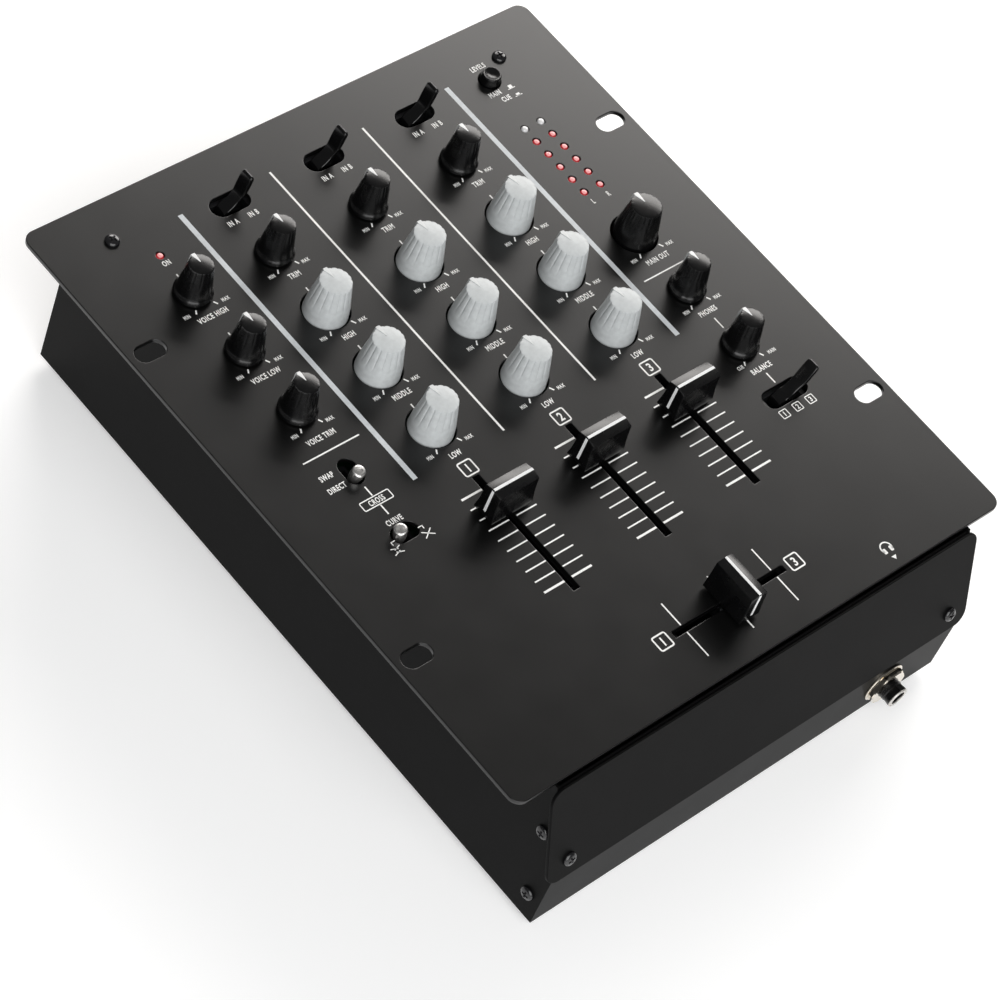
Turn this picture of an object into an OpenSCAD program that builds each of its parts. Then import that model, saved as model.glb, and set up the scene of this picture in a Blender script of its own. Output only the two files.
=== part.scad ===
// Three channel DJ mixing console for a desk or a rack rail, built as separate pieces.
// Millimetres. The origin is on the floor under the middle of the whole console, sockets
// included: +X to the user's right, +Y to the back, +Z up. The shapes below are drawn about
// the middle of the faceplate, and the last section moves them all back by origin_y.

/* [Faceplate] */
// Width of the faceplate
plate_w = 254; // [250:1:258]
// Depth of the faceplate, front to back
plate_d = 287.5; // [286:0.5:290]
// Thickness of the faceplate
plate_t = 2; // [1.5:0.5:3]
// Height of the faceplate's top above the floor
plate_top = 79; // [78:1:86]
// Corner radius of the faceplate
plate_corner_r = 5; // [2:1:8]
// Rack slot spacing across the width
rack_dx = 234.7; // [232:0.1:238]
// Rack slot spacing along the depth
rack_dy = 154.4; // [150:0.1:160]
// End-to-end length of a rack slot
rack_slot_len = 13.3; // [10:0.1:15]
// Width of a rack slot
rack_slot_w = 7.8; // [6:0.1:8.5]

/* [Case] */
// Outside width of the case
case_w = 216.8; // [214:0.2:220]
// Distance from the origin to the rear face
case_rear = 135.8; // [134:0.1:138]
// Distance from the origin to the lower front face
case_front = 160; // [158:0.5:162]
// Thickness of the case sheet
sheet_t = 1.2; // [1:0.1:1.5]
// Height of the vertical lower front face
lower_front_h = 27.6; // [26:0.1:30]
// Lean of the sloped front from the vertical
front_lean = 18.4; // [17:0.1:19]
// Width of the front panel
panel_w = 223.6; // [220:0.1:226]
// Thickness of the front panel
panel_t = 1.4; // [1:0.1:2]
// Height of the front panel, along its slope
panel_len = 45.6; // [40:0.1:45.7]
// Corner radius of the front panel
panel_corner_r = 6; // [3:1:8]
// Diameter of a rubber foot
foot_d = 14; // [10:1:18]
// Height of a rubber foot
foot_h = 4.5; // [3:0.5:6]

/* [Control grid] */
// Distance between channels
channel_pitch = 47; // [46:0.5:47]
// Distance from the middle to the side columns
side_x = 86.6; // [86:0.1:87]
// Front-to-back place of the first row of knobs
first_row_y = 91.1; // [90:0.1:92]
// Distance between rows of knobs
row_pitch = 31.2; // [31:0.1:31.4]

/* [Knobs] */
// Base diameter of a large knob
large_base_d = 18; // [17:0.1:18.4]
// Top diameter of a large knob
large_top_d = 12.8; // [12:0.1:15]
// Height of a large knob above the faceplate
large_h = 17.9; // [16:0.1:19]
// Diameter of the faceplate hole that a large knob sinks into
large_hole_d = 19.4; // [19.2:0.1:20]
// Skirt diameter of a small knob
small_skirt_d = 15.5; // [14:0.1:16]
// Top diameter of a small knob
small_top_d = 9.8; // [9:0.1:11]
// Height of a small knob above the faceplate
small_h = 17.5; // [16:0.1:19]
// Diameter of the turning shafts
shaft_d = 6; // [5:0.5:6]

/* [Faders] */
// Front-to-back place of the middle of the channel fader slots
fader_y = -57.1; // [-58:0.1:-56]
// Front-to-back place of the crossfader slot
crossfader_y = -120.1; // [-121:0.1:-119]
// Place of the channel faders at rest
fader_rest_y = -43.5; // [-60:0.5:-40]
// Length of a fader slot
fader_slot_len = 57.8; // [56:0.2:60]
// Width of a fader slot
fader_slot_w = 3.2; // [3:0.1:4]
// Length of a fader cap, across its travel
cap_len = 20.5; // [18:0.1:22]
// Width of a fader cap, along its travel
cap_w = 10.4; // [9:0.1:12]
// Height of a fader cap's ridge above the faceplate
cap_h = 16.5; // [15:0.1:18]

/* [Levers] */
// Front-to-back place of the input levers
lever_y = 118.2; // [117:0.1:118.5]
// Front-to-back place of the cue lever
cue_lever_y = -60.2; // [-61:0.1:-59]
// Length of a lever from its pivot
lever_len = 20.1; // [18:0.1:22]
// Width of a lever's paddle
lever_w = 6; // [5:0.1:6.2]
// Lean of an input lever at rest
input_lean = 18; // [10:1:20]
// Lean of the cue lever at rest
cue_lean = 36; // [20:1:38]

/* [Toggles and button] */
// Diameter of a toggle bat
bat_d = 5.3; // [4.5:0.1:5.5]
// Height of a toggle bat above the faceplate
bat_h = 5; // [4:0.5:7]
// Lean of a toggle bat at rest
bat_lean = 12; // [8:1:13]
// Base diameter of the meter button
button_d = 8.6; // [8:0.1:8.8]
// Height of the meter button above the faceplate
button_h = 4; // [3:0.5:5]

/* [Sockets] */
// Sideways place of the headphone jack
phones_x = 73; // [60:1:85]
// Height of the headphone jack above the floor
phones_z = 19.2; // [18:0.1:21]
// Bore diameter of the quarter inch jacks
jack_bore_d = 6.4; // [6.38:0.01:6.5]
// Thread diameter of the quarter inch jacks
jack_thread_d = 9.6; // [9:0.1:10]
// How far the headphone jack stands out of the lower front face
phones_out = 9; // [7:0.5:10]
// Shell diameter of a phono socket
phono_d = 8.3; // [8.2:0.05:8.5]

/* [Hidden] */
$fn = 64;
fit_gap = 0.05;      // radial clearance of a shaft in its hole
move_gap = 0.3;      // clearance beside anything else that moves
plate_under = plate_top - plate_t;
board_t = 1.6;
board_top = plate_under - 13;
half_w = case_w / 2;
inner_w = case_w - 2 * sheet_t;
inner_rear = case_rear - sheet_t;
floor_z = foot_h;    // underside of the case
phono_out = 8.2;     // how far the phono shells stand out of the rear face
origin_y = (case_front + phones_out - case_rear - phono_out) / 2;

// The control grid
channels = [1, 2, 3];
function channel_x(c) = (c - 2) * channel_pitch;
function row_y(r) = first_row_y - r * row_pitch;
tone_rows = ["treble", "mid", "bass"];
large_knobs = concat(
    [for (c = channels, t = [0:2]) [str("ch", c, "_", tone_rows[t], "_knob"), channel_x(c), row_y(t + 1)]],
    [["master_knob", side_x, row_y(2)]]);
small_knobs = concat(
    [for (c = channels) [str("ch", c, "_gain_knob"), channel_x(c), row_y(0)]],
    [["mic_treble_knob", -side_x, row_y(0)],
     ["mic_bass_knob", -side_x, row_y(1)],
     ["mic_gain_knob", -side_x, row_y(2)],
     ["cue_gain_knob", side_x, row_y(3)],
     ["cue_mix_knob", side_x, row_y(4)]]);
input_levers = [for (c = channels) [str("ch", c, "_input_lever"), channel_x(c), lever_y, input_lean]];
levers = concat(input_levers, [["cue_lever", side_x, cue_lever_y, cue_lean]]);
// Each toggle: name, place and the turn about Z of its throw, which is 0 along X
toggles = [["reverse_toggle", -side_x, row_y(3) - 0.4, -90],
           ["slope_toggle", -side_x, row_y(4) - 0.2, 180]];
input_slot = [17.8, 9.2];
cue_slot = [22, 8.6];
toggle_slot = [12, 7.2];
button_pos = [side_x, 117.5];
power_led_pos = [-86.5, 111];
meter_x = [82.6, 91.3];
meter_first_y = 91;
meter_pitch = 7.28;
led_d = 3;
screw_pos = [98.3, 125.1];

// ---------------------------------------------------------------- shared shapes

module at_corners(dx, dy) {
    for (x = [-dx / 2, dx / 2], y = [-dy / 2, dy / 2])
        translate([x, y])
            children();
}

module slot_outline(len, wid) {
    square([len - wid, wid], center = true);
    for (x = [-1, 1])
        translate([x * (len - wid) / 2, 0])
            circle(d = wid);
}

module rounded_outline(w, d, r) {
    square([w - 2 * r, d], center = true);
    square([w, d - 2 * r], center = true);
    at_corners(w - 2 * r, d - 2 * r)
        circle(r = r);
}

module box(size, at) {
    translate([at[0] - size[0] / 2, at[1] - size[1] / 2, at[2]])
        cube(size);
}

// A Phillips recess, cut down from z = 0
module cross_recess(w, depth) {
    for (turn = [0, 90])
        rotate(turn)
            translate([-w / 2, -w * 0.14, -depth])
                cube([w, w * 0.28, depth + 1]);
}

// A pan head screw along Z: its head stands on z = 0 and its shank goes down
module pan_screw(head_d, head_h, shank_d, shank_len) {
    difference() {
        union() {
            cylinder(d = head_d, h = head_h * 0.5);
            translate([0, 0, head_h * 0.5])
                cylinder(d1 = head_d, d2 = head_d * 0.7, h = head_h * 0.5);
            translate([0, 0, -shank_len])
                cylinder(d = shank_d, h = shank_len);
        }
        translate([0, 0, head_h])
            cross_recess(head_d * 0.55, head_h * 0.6);
    }
}

// ---------------------------------------------------------------- case

screw_d = 2.9;
screw_hole_d = 3.1;
screw_head_d = 6;
screw_head_h = 1.7;
screw_len = 6;

module faceplate_openings() {
    at_corners(rack_dx, rack_dy)
        slot_outline(rack_slot_len, rack_slot_w);
    for (x = [-1, 1])
        translate([x * screw_pos[0], screw_pos[1]])
            circle(d = screw_hole_d);
    for (k = large_knobs)
        translate([k[1], k[2]])
            circle(d = large_hole_d);
    for (k = small_knobs)
        translate([k[1], k[2]])
            circle(d = bushing_d + 0.6);
    for (l = input_levers)
        translate([l[1], l[2]])
            slot_outline(input_slot[0], input_slot[1]);
    translate([side_x, cue_lever_y])
        slot_outline(cue_slot[0], cue_slot[1]);
    for (t = toggles)
        translate([t[1], t[2]])
            rotate(t[3])
                slot_outline(toggle_slot[0], toggle_slot[1]);
    for (c = channels)
        translate([channel_x(c), fader_y])
            square([fader_slot_w, fader_slot_len], center = true);
    translate([0, crossfader_y])
        square([fader_slot_len, fader_slot_w - 0.4], center = true);
    translate(button_pos)
        circle(d = button_d + 0.8);
    translate(power_led_pos)
        circle(d = led_d + 0.4);
    for (x = meter_x, i = [0:5])
        translate([x, meter_first_y - i * meter_pitch])
            circle(d = led_d + 0.4);
}

module faceplate() {
    color("#1c1c1d")
        translate([0, 0, plate_under])
            linear_extrude(plate_t)
                difference() {
                    rounded_outline(plate_w, plate_d, plate_corner_r);
                    faceplate_openings();
                }
}

// The slope starts at the top of the lower front face and leans back
slope_z = floor_z + lower_front_h;
function slope_y(z) = -case_front + (z - slope_z) * tan(front_lean);
slope_top = plate_under - 0.6;

// Side view of the case, drawn in Y and Z
module case_outline(top, rear) {
    polygon([[rear, floor_z], [rear, top], [slope_y(top), top], [-case_front, slope_z],
             [-case_front, floor_z]]);
}

// Stands a Y-Z outline up and gives it a thickness along +X
module side_extrude(t) {
    rotate([90, 0, 90])
        linear_extrude(t)
            children();
}

side_screws = [[-148.1, 51.6], [-153.7, 17]];
flange_w = 9;
flange_len = 245;
flange_mid_y = -7.5;
rear_flange_h = 60;

module side_panel(side) {
    rear_flange_w = flange_w - 1;
    color("#202021")
        difference() {
            union() {
                translate([side > 0 ? half_w - sheet_t : -half_w, 0, 0])
                    side_extrude(sheet_t)
                        case_outline(plate_under, inner_rear);
                // Top flange, under the faceplate
                box([flange_w, flange_len, sheet_t],
                    [side * (half_w - sheet_t - flange_w / 2), flange_mid_y, plate_under - sheet_t]);
                // Rear flange, behind the rear panel
                box([rear_flange_w, sheet_t, rear_flange_h],
                    [side * (half_w - sheet_t - rear_flange_w / 2), inner_rear - sheet_t / 2, floor_z + 4]);
            }
            for (s = side_screws)
                translate([side * half_w, s[0], s[1]])
                    rotate([0, 90, 0])
                        cylinder(d = screw_hole_d, h = 4 * sheet_t, center = true);
            rear_screw_holes();
        }
}

module left_side_panel() {
    side_panel(-1);
}

module right_side_panel() {
    side_panel(1);
}

rear_screw_x = half_w - 6;
rear_screw_z = [floor_z + 9, floor_z + 58];

module rear_screw_holes() {
    for (x = [-1, 1], z = rear_screw_z)
        translate([x * rear_screw_x, case_rear, z])
            rotate([90, 0, 0])
                cylinder(d = screw_hole_d, h = 4 * sheet_t, center = true);
}

tray_tab_w = 12;

// Side view of the strip that folds back from the tray's front and takes the side screws
module tray_tab_outline() {
    top = slope_top - 6;
    inset = sheet_t / 2;
    front = [[inset - case_front, floor_z + inset], [inset - case_front, slope_z],
             [inset + slope_y(top), top]];
    polygon(concat(front, [for (i = [2, 1, 0]) front[i] + [tray_tab_w, 0]]));
}

// Side view of the tray's bent sheet: bottom, lower front face and slope
module tray_sheet_outline() {
    difference() {
        case_outline(slope_top, inner_rear);
        translate([sheet_t, sheet_t])
            polygon([[inner_rear + 1, floor_z], [inner_rear + 1, slope_top + 1],
                     [slope_y(slope_top + 1), slope_top + 1],
                     [-case_front, slope_z - sheet_t], [-case_front, floor_z]]);
    }
}

module case_tray() {
    color("#232324")
        difference() {
            union() {
                translate([-inner_w / 2, 0, 0])
                    side_extrude(inner_w)
                        tray_sheet_outline();
                for (x = [-inner_w / 2, inner_w / 2 - sheet_t])
                    translate([x, 0, 0])
                        side_extrude(sheet_t)
                            tray_tab_outline();
            }
            for (side = [-1, 1], s = side_screws)
                translate([side * inner_w / 2, s[0], s[1]])
                    rotate([0, 90, 0])
                        cylinder(d = screw_hole_d, h = 4 * sheet_t, center = true);
            translate([phones_x, -case_front, phones_z])
                rotate([90, 0, 0])
                    cylinder(d = jack_thread_d + 0.4, h = 4 * sheet_t, center = true);
            on_front_panel()
                front_screw_places()
                    cylinder(d = screw_hole_d, h = 12, center = true);
        }
}

// Puts its children on the front panel: X across, Y up the slope from the panel's
// bottom edge, Z out of the panel, with z = 0 on its back
panel_drop = 1;
module on_front_panel() {
    translate([0, -case_front + panel_drop * -tan(front_lean), slope_z - panel_drop])
        rotate([90 - front_lean, 0, 0])
            children();
}

panel_lift = 2;
front_screw_x = 101.3;
front_screw_up = 8.7;

module front_screw_places() {
    for (x = [-1, 1])
        translate([x * front_screw_x, panel_lift + front_screw_up, 0])
            children();
}

module front_panel() {
    color("#1e1e1f")
        on_front_panel()
            difference() {
                translate([0, panel_lift + panel_len / 2, 0])
                    linear_extrude(panel_t)
                        rounded_outline(panel_w, panel_len, panel_corner_r);
                front_screw_places()
                    translate([0, 0, -1])
                        cylinder(d = screw_hole_d, h = panel_t + 2);
            }
}

rear_tab = [12, 16];     // takes a faceplate screw

module rear_panel() {
    color("#202021")
        difference() {
            union() {
                box([case_w, sheet_t, plate_under - floor_z], [0, case_rear - sheet_t / 2, floor_z]);
                for (x = [-1, 1])
                    box([rear_tab[0], rear_tab[1], sheet_t],
                        [x * screw_pos[0], inner_rear - rear_tab[1] / 2, plate_under - sheet_t]);
            }
            rear_screw_holes();
            for (x = [-1, 1])
                translate([x * screw_pos[0], screw_pos[1], plate_under - 2 * sheet_t])
                    cylinder(d = screw_hole_d, h = 4 * sheet_t);
            at_rear(0, 0)
                phono_places()
                    cylinder(d = collar_d + 0.4, h = 4 * sheet_t, center = true);
            at_rear(mic_x, socket_z)
                cylinder(d = jack_thread_d + 0.4, h = 4 * sheet_t, center = true);
            at_rear(ground_x, ground_z)
                cylinder(d = 4.2, h = 4 * sheet_t, center = true);
            at_rear(inlet_x, socket_z)
                cylinder(d = inlet_d + 0.4, h = 4 * sheet_t, center = true);
            box([rocker_housing_w + 0.2, 4 * sheet_t, rocker_housing_h + 0.2],
                [rocker_x, case_rear, socket_z - rocker_housing_h / 2 - 0.1]);
        }
}

foot_dx = 176;
foot_dy = 250;
foot_mid_y = -12;

module rubber_feet() {
    color("#111112")
        translate([0, foot_mid_y, 0])
            at_corners(foot_dx, foot_dy) {
                translate([0, 0, 1])
                    cylinder(d = foot_d, h = foot_h - 1);
                cylinder(d1 = foot_d - 2, d2 = foot_d, h = 1);
            }
}

module faceplate_screws() {
    color("#0f0f10")
        for (x = [-1, 1])
            translate([x * screw_pos[0], screw_pos[1], plate_top])
                pan_screw(screw_head_d, screw_head_h, screw_d, screw_len);
}

module front_panel_screws() {
    color("#0f0f10")
        on_front_panel()
            front_screw_places()
                translate([0, 0, panel_t])
                    pan_screw(screw_head_d, screw_head_h, screw_d, screw_len);
}

module case_screws() {
    color("#141415") {
        for (side = [-1, 1], s = side_screws)
            translate([side * half_w, s[0], s[1]])
                rotate([0, side * 90, 0])
                    pan_screw(screw_head_d, screw_head_h, screw_d, screw_len);
        for (x = [-1, 1], z = rear_screw_z)
            translate([x * rear_screw_x, case_rear, z])
                rotate([-90, 0, 0])
                    pan_screw(screw_head_d, screw_head_h, screw_d, screw_len);
    }
}

// ---------------------------------------------------------------- inside the case

board_w = 194;
board_rear_y = 125;
board_step_y = -18;      // where the full width ends and the two arms start
arm_w = 29;
arm_front_y = -74;
connector_board = [140, board_t, 46];
connector_board_x = -10;
connector_board_z = 14;

// The control board, with an arm down each side of the faders, and the connector board,
// upright behind the phono blocks
module circuit_boards() {
    color("#1d5a34") {
        translate([0, 0, board_top - board_t])
            linear_extrude(board_t) {
                translate([-board_w / 2, board_step_y])
                    square([board_w, board_rear_y - board_step_y]);
                for (x = [-board_w / 2, board_w / 2 - arm_w])
                    translate([x, arm_front_y])
                        square([arm_w, board_step_y - arm_front_y + 1]);
            }
        box(connector_board,
            [connector_board_x, phono_block_y - (phono_block_d + board_t) / 2, connector_board_z]);
    }
}

standoff_places = [for (x = [-67, -23.5, 23.5, 67], y = [6, 104]) [x, y]];

module board_standoffs() {
    color("#b8b8bc")
        for (p = standoff_places)
            translate([p[0], p[1], board_top])
                cylinder(d = 6, h = plate_under - board_top, $fn = 6);
}

bushing_d = 7;
pot_h = 7;
shaft_bottom = board_top + 2.3;

module pot_body() {
    difference() {
        union() {
            box([9.8, 11.5, pot_h], [0, 0, board_top]);
            translate([0, 0, board_top + pot_h])
                cylinder(d = bushing_d, h = 4.5);
        }
        translate([0, 0, shaft_bottom - move_gap])
            cylinder(d = shaft_d + 2 * fit_gap, h = 20);
    }
}

module pot_bodies() {
    color("#2b4f7a")
        for (k = concat(large_knobs, small_knobs))
            translate([k[1], k[2], 0])
                pot_body();
}

fader_body_h = 13;
fader_body_w = 9.6;
fader_body_len = 70;
fader_wall = 0.8;
carriage = [5, 7.2, 6];   // along the travel, across it, and up
blade = [4, 1.2];         // along the travel and across it
travel_half = 23.5;

// A fader body that slides along X
module fader_body() {
    bottom = plate_under - 0.2 - fader_body_h;
    cavity_w = fader_body_w - 2 * fader_wall;
    difference() {
        box([fader_body_len, fader_body_w, fader_body_h], [0, 0, bottom]);
        box([2 * travel_half + carriage[0] + 2, cavity_w, fader_body_h - 2 * fader_wall],
            [0, 0, bottom + fader_wall]);
        box([2 * travel_half + blade[0] + 2, blade[1] + 1.2, fader_wall + 2],
            [0, 0, plate_under - 0.2 - fader_wall - 1]);
    }
}

module channel_fader_bodies() {
    color("#8f9296")
        for (c = channels)
            translate([channel_x(c), fader_y, 0])
                rotate(90)
                    fader_body();
}

module crossfader_body() {
    color("#8f9296")
        translate([0, crossfader_y, 0])
            fader_body();
}

lever_pivot_z = plate_top - 5;
lever_pin_d = 2.4;
lever_hub_d = 5.2;
lever_body = [20, 10, 12];

module lever_switch_body() {
    difference() {
        box(lever_body, [0, 0, board_top]);
        box([16, lever_w + 2 * move_gap, lever_body[2]], [0, 0, board_top + 2]);
        translate([0, 0, lever_pivot_z])
            rotate([90, 0, 0])
                cylinder(d = lever_pin_d + 2 * fit_gap, h = lever_body[1] + 2, center = true);
    }
}

module lever_switch_bodies() {
    color("#3a3c40")
        for (l = levers)
            translate([l[1], l[2], 0])
                lever_switch_body();
}

toggle_pivot_z = board_top + 3.5;
toggle_pin_d = 1.6;
toggle_hub_d = 4;
toggle_hub_w = 5;
button_body_h = 10;
plunger = 3;

// A toggle body whose bat tips along X
module toggle_body() {
    difference() {
        box([13, 8, 8], [0, 0, board_top]);
        box([10, toggle_hub_w + 2 * move_gap, 8], [0, 0, board_top + 1]);
        translate([0, 0, toggle_pivot_z])
            rotate([90, 0, 0])
                cylinder(d = toggle_pin_d + 2 * fit_gap, h = 10, center = true);
    }
}

module small_switch_bodies() {
    color("#3a3c40") {
        for (t = toggles)
            translate([t[1], t[2], 0])
                rotate(t[3])
                    toggle_body();
        difference() {
            box([10, 10, button_body_h], [button_pos[0], button_pos[1], board_top]);
            box([plunger + 2 * move_gap, plunger + 2 * move_gap, button_body_h],
                [button_pos[0], button_pos[1], board_top + 1]);
        }
    }
}

module indicator_led() {
    translate([0, 0, board_top])
        cylinder(d = led_d, h = plate_t + 12.5);
}

module indicator_leds() {
    color("#e03a3a") {
        translate(power_led_pos)
            indicator_led();
        for (x = meter_x, i = [0:5])
            translate([x, meter_first_y - i * meter_pitch])
                indicator_led();
    }
}

// ---------------------------------------------------------------- controls

shaft_top = plate_top + 12.5;
bore_top = shaft_top + 0.3;

module shaft() {
    translate([0, 0, shaft_bottom])
        cylinder(d = shaft_d, h = shaft_top - shaft_bottom);
}

module large_knob(x, y) {
    base = plate_top - 1.2;
    top = plate_top + large_h;
    bore = shaft_d / 2 + fit_gap;
    hub = bore + 1.3;
    wall = 1.3;
    color("#d0d4d4")
        translate([x, y, 0]) {
            rotate_extrude()
                polygon([[bore, base], [hub, base], [hub, plate_top + 8],
                         [large_base_d / 2 - wall - 1, plate_top + 8], [large_base_d / 2 - wall, base],
                         [large_base_d / 2, base], [large_top_d / 2, top - 0.4],
                         [large_top_d / 2 - 0.4, top], [0, top], [0, bore_top], [bore, bore_top]]);
            shaft();
        }
}

module small_knob(x, y) {
    base = plate_top + 0.6;
    top = plate_top + small_h;
    bore = shaft_d / 2 + fit_gap;
    color("#101011")
        translate([x, y, 0]) {
            rotate_extrude()
                polygon([[bore, base], [small_skirt_d / 2, base], [small_skirt_d / 2, base + 1.4],
                         [small_skirt_d / 2 - 0.9, base + 2.4], [small_skirt_d / 2 - 1.2, base + 5],
                         [small_top_d / 2, top - 0.4], [small_top_d / 2 - 0.4, top], [0, top],
                         [0, bore_top], [bore, bore_top]]);
            shaft();
        }
}

cap_base = plate_top + 1.3;
cap_roof = plate_top + 15.4;
blade_top = plate_top + 12;

// A fader cap that slides along X, with its ridge across the travel
module fader_cap() {
    ridge = plate_top + cap_h;
    difference() {
        intersection() {
            translate([0, cap_len / 2, 0])
                rotate([90, 0, 0])
                    linear_extrude(cap_len)
                        polygon([[-cap_w / 2, cap_base], [cap_w / 2, cap_base],
                                 [cap_w / 2 - 1.2, cap_roof], [0, ridge], [1.2 - cap_w / 2, cap_roof]]);
            translate([-cap_w, 0, 0])
                side_extrude(2 * cap_w)
                    polygon([[-cap_len / 2, cap_base], [cap_len / 2, cap_base],
                             [cap_len / 2 - 0.4, ridge], [0.4 - cap_len / 2, ridge]]);
        }
        box([blade[0] + 2 * fit_gap, blade[1] + 2 * fit_gap, blade_top - cap_base + 1.1],
            [0, 0, cap_base - 1]);
    }
}

// A carriage inside the fader body with the blade that carries the cap
module fader_stem() {
    carriage_z = plate_under - 9;
    box(carriage, [0, 0, carriage_z]);
    box([blade[0], blade[1], blade_top - carriage_z - 1], [0, 0, carriage_z + 1]);
}

module channel_fader_cap(c) {
    color("#0e0e0f")
        translate([channel_x(c), fader_rest_y, 0])
            rotate(90)
                fader_cap();
}

module channel_fader_stem(c) {
    color("#a9acb0")
        translate([channel_x(c), fader_rest_y, 0])
            rotate(90)
                fader_stem();
}

module crossfader_cap() {
    color("#0e0e0f")
        translate([0, crossfader_y, 0])
            fader_cap();
}

module crossfader_stem() {
    color("#a9acb0")
        translate([0, crossfader_y, 0])
            fader_stem();
}

// A lever that leans toward +X, with its pin in the two walls of its switch body
module lever(x, y, lean) {
    neck = 7.5;
    color("#0f0f10")
        translate([x, y, lever_pivot_z])
            rotate([0, lean, 0])
                union() {
                    rotate([90, 0, 0])
                        cylinder(d = lever_hub_d, h = lever_w, center = true);
                    rotate([90, 0, 0])
                        cylinder(d = lever_pin_d, h = lever_body[1] - 0.4, center = true);
                    translate([0, lever_w / 2, 0])
                        rotate([90, 0, 0])
                            linear_extrude(lever_w)
                                polygon([[-2.2, 0], [2.2, 0], [1.5, neck], [1.2, neck + 3],
                                         [1.1, lever_len - 1], [0.5, lever_len],
                                         [-0.5, lever_len], [-1.1, lever_len - 1],
                                         [-1.2, neck + 3], [-1.5, neck]]);
                }
}

// A bat that leans toward +X before the turn about Z
module toggle_bat(x, y, turn) {
    top = plate_top + bat_h - toggle_pivot_z;
    color("#d8d8da")
        translate([x, y, toggle_pivot_z])
            rotate([0, 0, turn])
                rotate([0, bat_lean, 0])
                    union() {
                        rotate([90, 0, 0])
                            cylinder(d = toggle_hub_d, h = toggle_hub_w, center = true);
                        rotate([90, 0, 0])
                            cylinder(d = toggle_pin_d, h = 7.6, center = true);
                        cylinder(d = 3, h = top - 2);
                        translate([0, 0, 5.5])
                            cylinder(d = bat_d, h = top - 5.5 - 1);
                        translate([0, 0, top - 1])
                            cylinder(d1 = bat_d, d2 = bat_d - 1.6, h = 1);
                    }
}

module meter_button() {
    bottom = plate_under - 0.5;
    color("#101011")
        translate([button_pos[0], button_pos[1], 0])
            union() {
                translate([0, 0, bottom])
                    cylinder(d = button_d, h = plate_t + 1.5);
                translate([0, 0, bottom + plate_t + 1.5])
                    cylinder(d1 = button_d, d2 = button_d - 0.8, h = button_h - 1);
                box([plunger, plunger, bottom - board_top - 4], [0, 0, board_top + 4]);
            }
}

// ---------------------------------------------------------------- sockets

// Puts its children on the rear face, with Z pointing out of the back
module at_rear(x, z) {
    translate([x, case_rear, z])
        rotate([-90, 0, 0])
            children();
}

socket_z = 36;
mic_x = -90;
ground_x = -70;
ground_z = 57;
inlet_x = 92;
inlet_d = 8;
rocker_x = 72;
rocker_housing_w = 13;
rocker_housing_h = 19.4;
collar_d = 10.8;
phono_block_x = [-62, -27, 8, 43];
phono_pitch = 15;
phono_block_d = 12;
phono_block_y = inner_rear - phono_block_d / 2;

// Every phono socket on the rear face, in blocks of two pairs
module phono_places() {
    for (x = phono_block_x)
        translate([x, -socket_z, 0])
            at_corners(phono_pitch, phono_pitch + 3)
                children();
}

module phono_blocks() {
    pin_bore_d = 3.3;
    color("#161617")
        difference() {
            union() {
                for (x = phono_block_x)
                    box([30, phono_block_d, 34], [x, phono_block_y, socket_z - 17]);
                at_rear(0, 0)
                    phono_places() {
                        translate([0, 0, -sheet_t - 1])
                            cylinder(d = collar_d, h = sheet_t + 1.6);
                        cylinder(d = phono_d - 2.5, h = phono_out - 0.8);
                    }
            }
            at_rear(0, 0)
                phono_places()
                    cylinder(d = pin_bore_d, h = 2 * phono_out);
        }
}

module phono_shells() {
    color("#c9c9cc")
        at_rear(0, 0)
            phono_places()
                translate([0, 0, 0.6])
                    difference() {
                        cylinder(d = phono_d, h = phono_out - 0.6);
                        translate([0, 0, -1])
                            cylinder(d = phono_d - 2.4, h = phono_out + 1);
                    }
}

// A quarter inch jack along Z: its body is below z = 0 and its thread above
module quarter_inch_jack(out, depth) {
    difference() {
        union() {
            box([16, 16, depth], [0, 0, -depth - sheet_t]);
            translate([0, 0, -sheet_t - 1])
                cylinder(d = jack_thread_d, h = out + sheet_t + 1);
        }
        translate([0, 0, 3 - depth])
            cylinder(d = jack_bore_d, h = depth + out);
    }
}

seat_gap = 0.02;     // keeps a washer and the nut on it two separate solids

washer_d = 19;
washer_t = 1;
nut_af = 15.9;       // across its flats
nut_h = 2.4;

module washer_and_nut() {
    difference() {
        cylinder(d = washer_d, h = washer_t);
        translate([0, 0, -1])
            cylinder(d = jack_thread_d + 2 * fit_gap, h = washer_t + 2);
    }
    translate([0, 0, washer_t + seat_gap])
        difference() {
            cylinder(d = nut_af / cos(30), h = nut_h, $fn = 6);
            translate([0, 0, -1])
                cylinder(d = jack_thread_d + 2 * fit_gap, h = nut_h + 2);
        }
}

module at_phones() {
    translate([phones_x, -case_front, phones_z])
        rotate([90, 0, 0])
            children();
}

module headphone_jack_body() {
    color("#121213")
        at_phones()
            quarter_inch_jack(phones_out, 25);
}

module headphone_jack_hardware() {
    color("#c8c8ca")
        at_phones()
            washer_and_nut();
}

module mic_jack() {
    color("#1a1a1b")
        at_rear(mic_x, socket_z) {
            quarter_inch_jack(4, 22);
            washer_and_nut();
        }
}

module ground_post() {
    color("#c2c2c5")
        at_rear(ground_x, ground_z)
            union() {
                translate([0, 0, -6])
                    cylinder(d = 4, h = 8);
                cylinder(d = 7.5, h = 1);
                translate([0, 0, 1])
                    cylinder(d = 8.5, h = 5, $fn = 12);
                translate([0, 0, 6])
                    cylinder(d = 4, h = 1.5);
            }
}

module power_inlet() {
    color("#161617")
        at_rear(inlet_x, socket_z) {
            difference() {
                union() {
                    box([10, 11, 13], [0, 0, -13 - sheet_t]);
                    translate([0, 0, -sheet_t - 1])
                        cylinder(d = inlet_d, h = sheet_t + 2);
                }
                translate([0, 0, -9])
                    cylinder(d = 5.6, h = 12);
            }
            translate([0, 0, -9])
                cylinder(d = 2, h = 8);
        }
}

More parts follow.
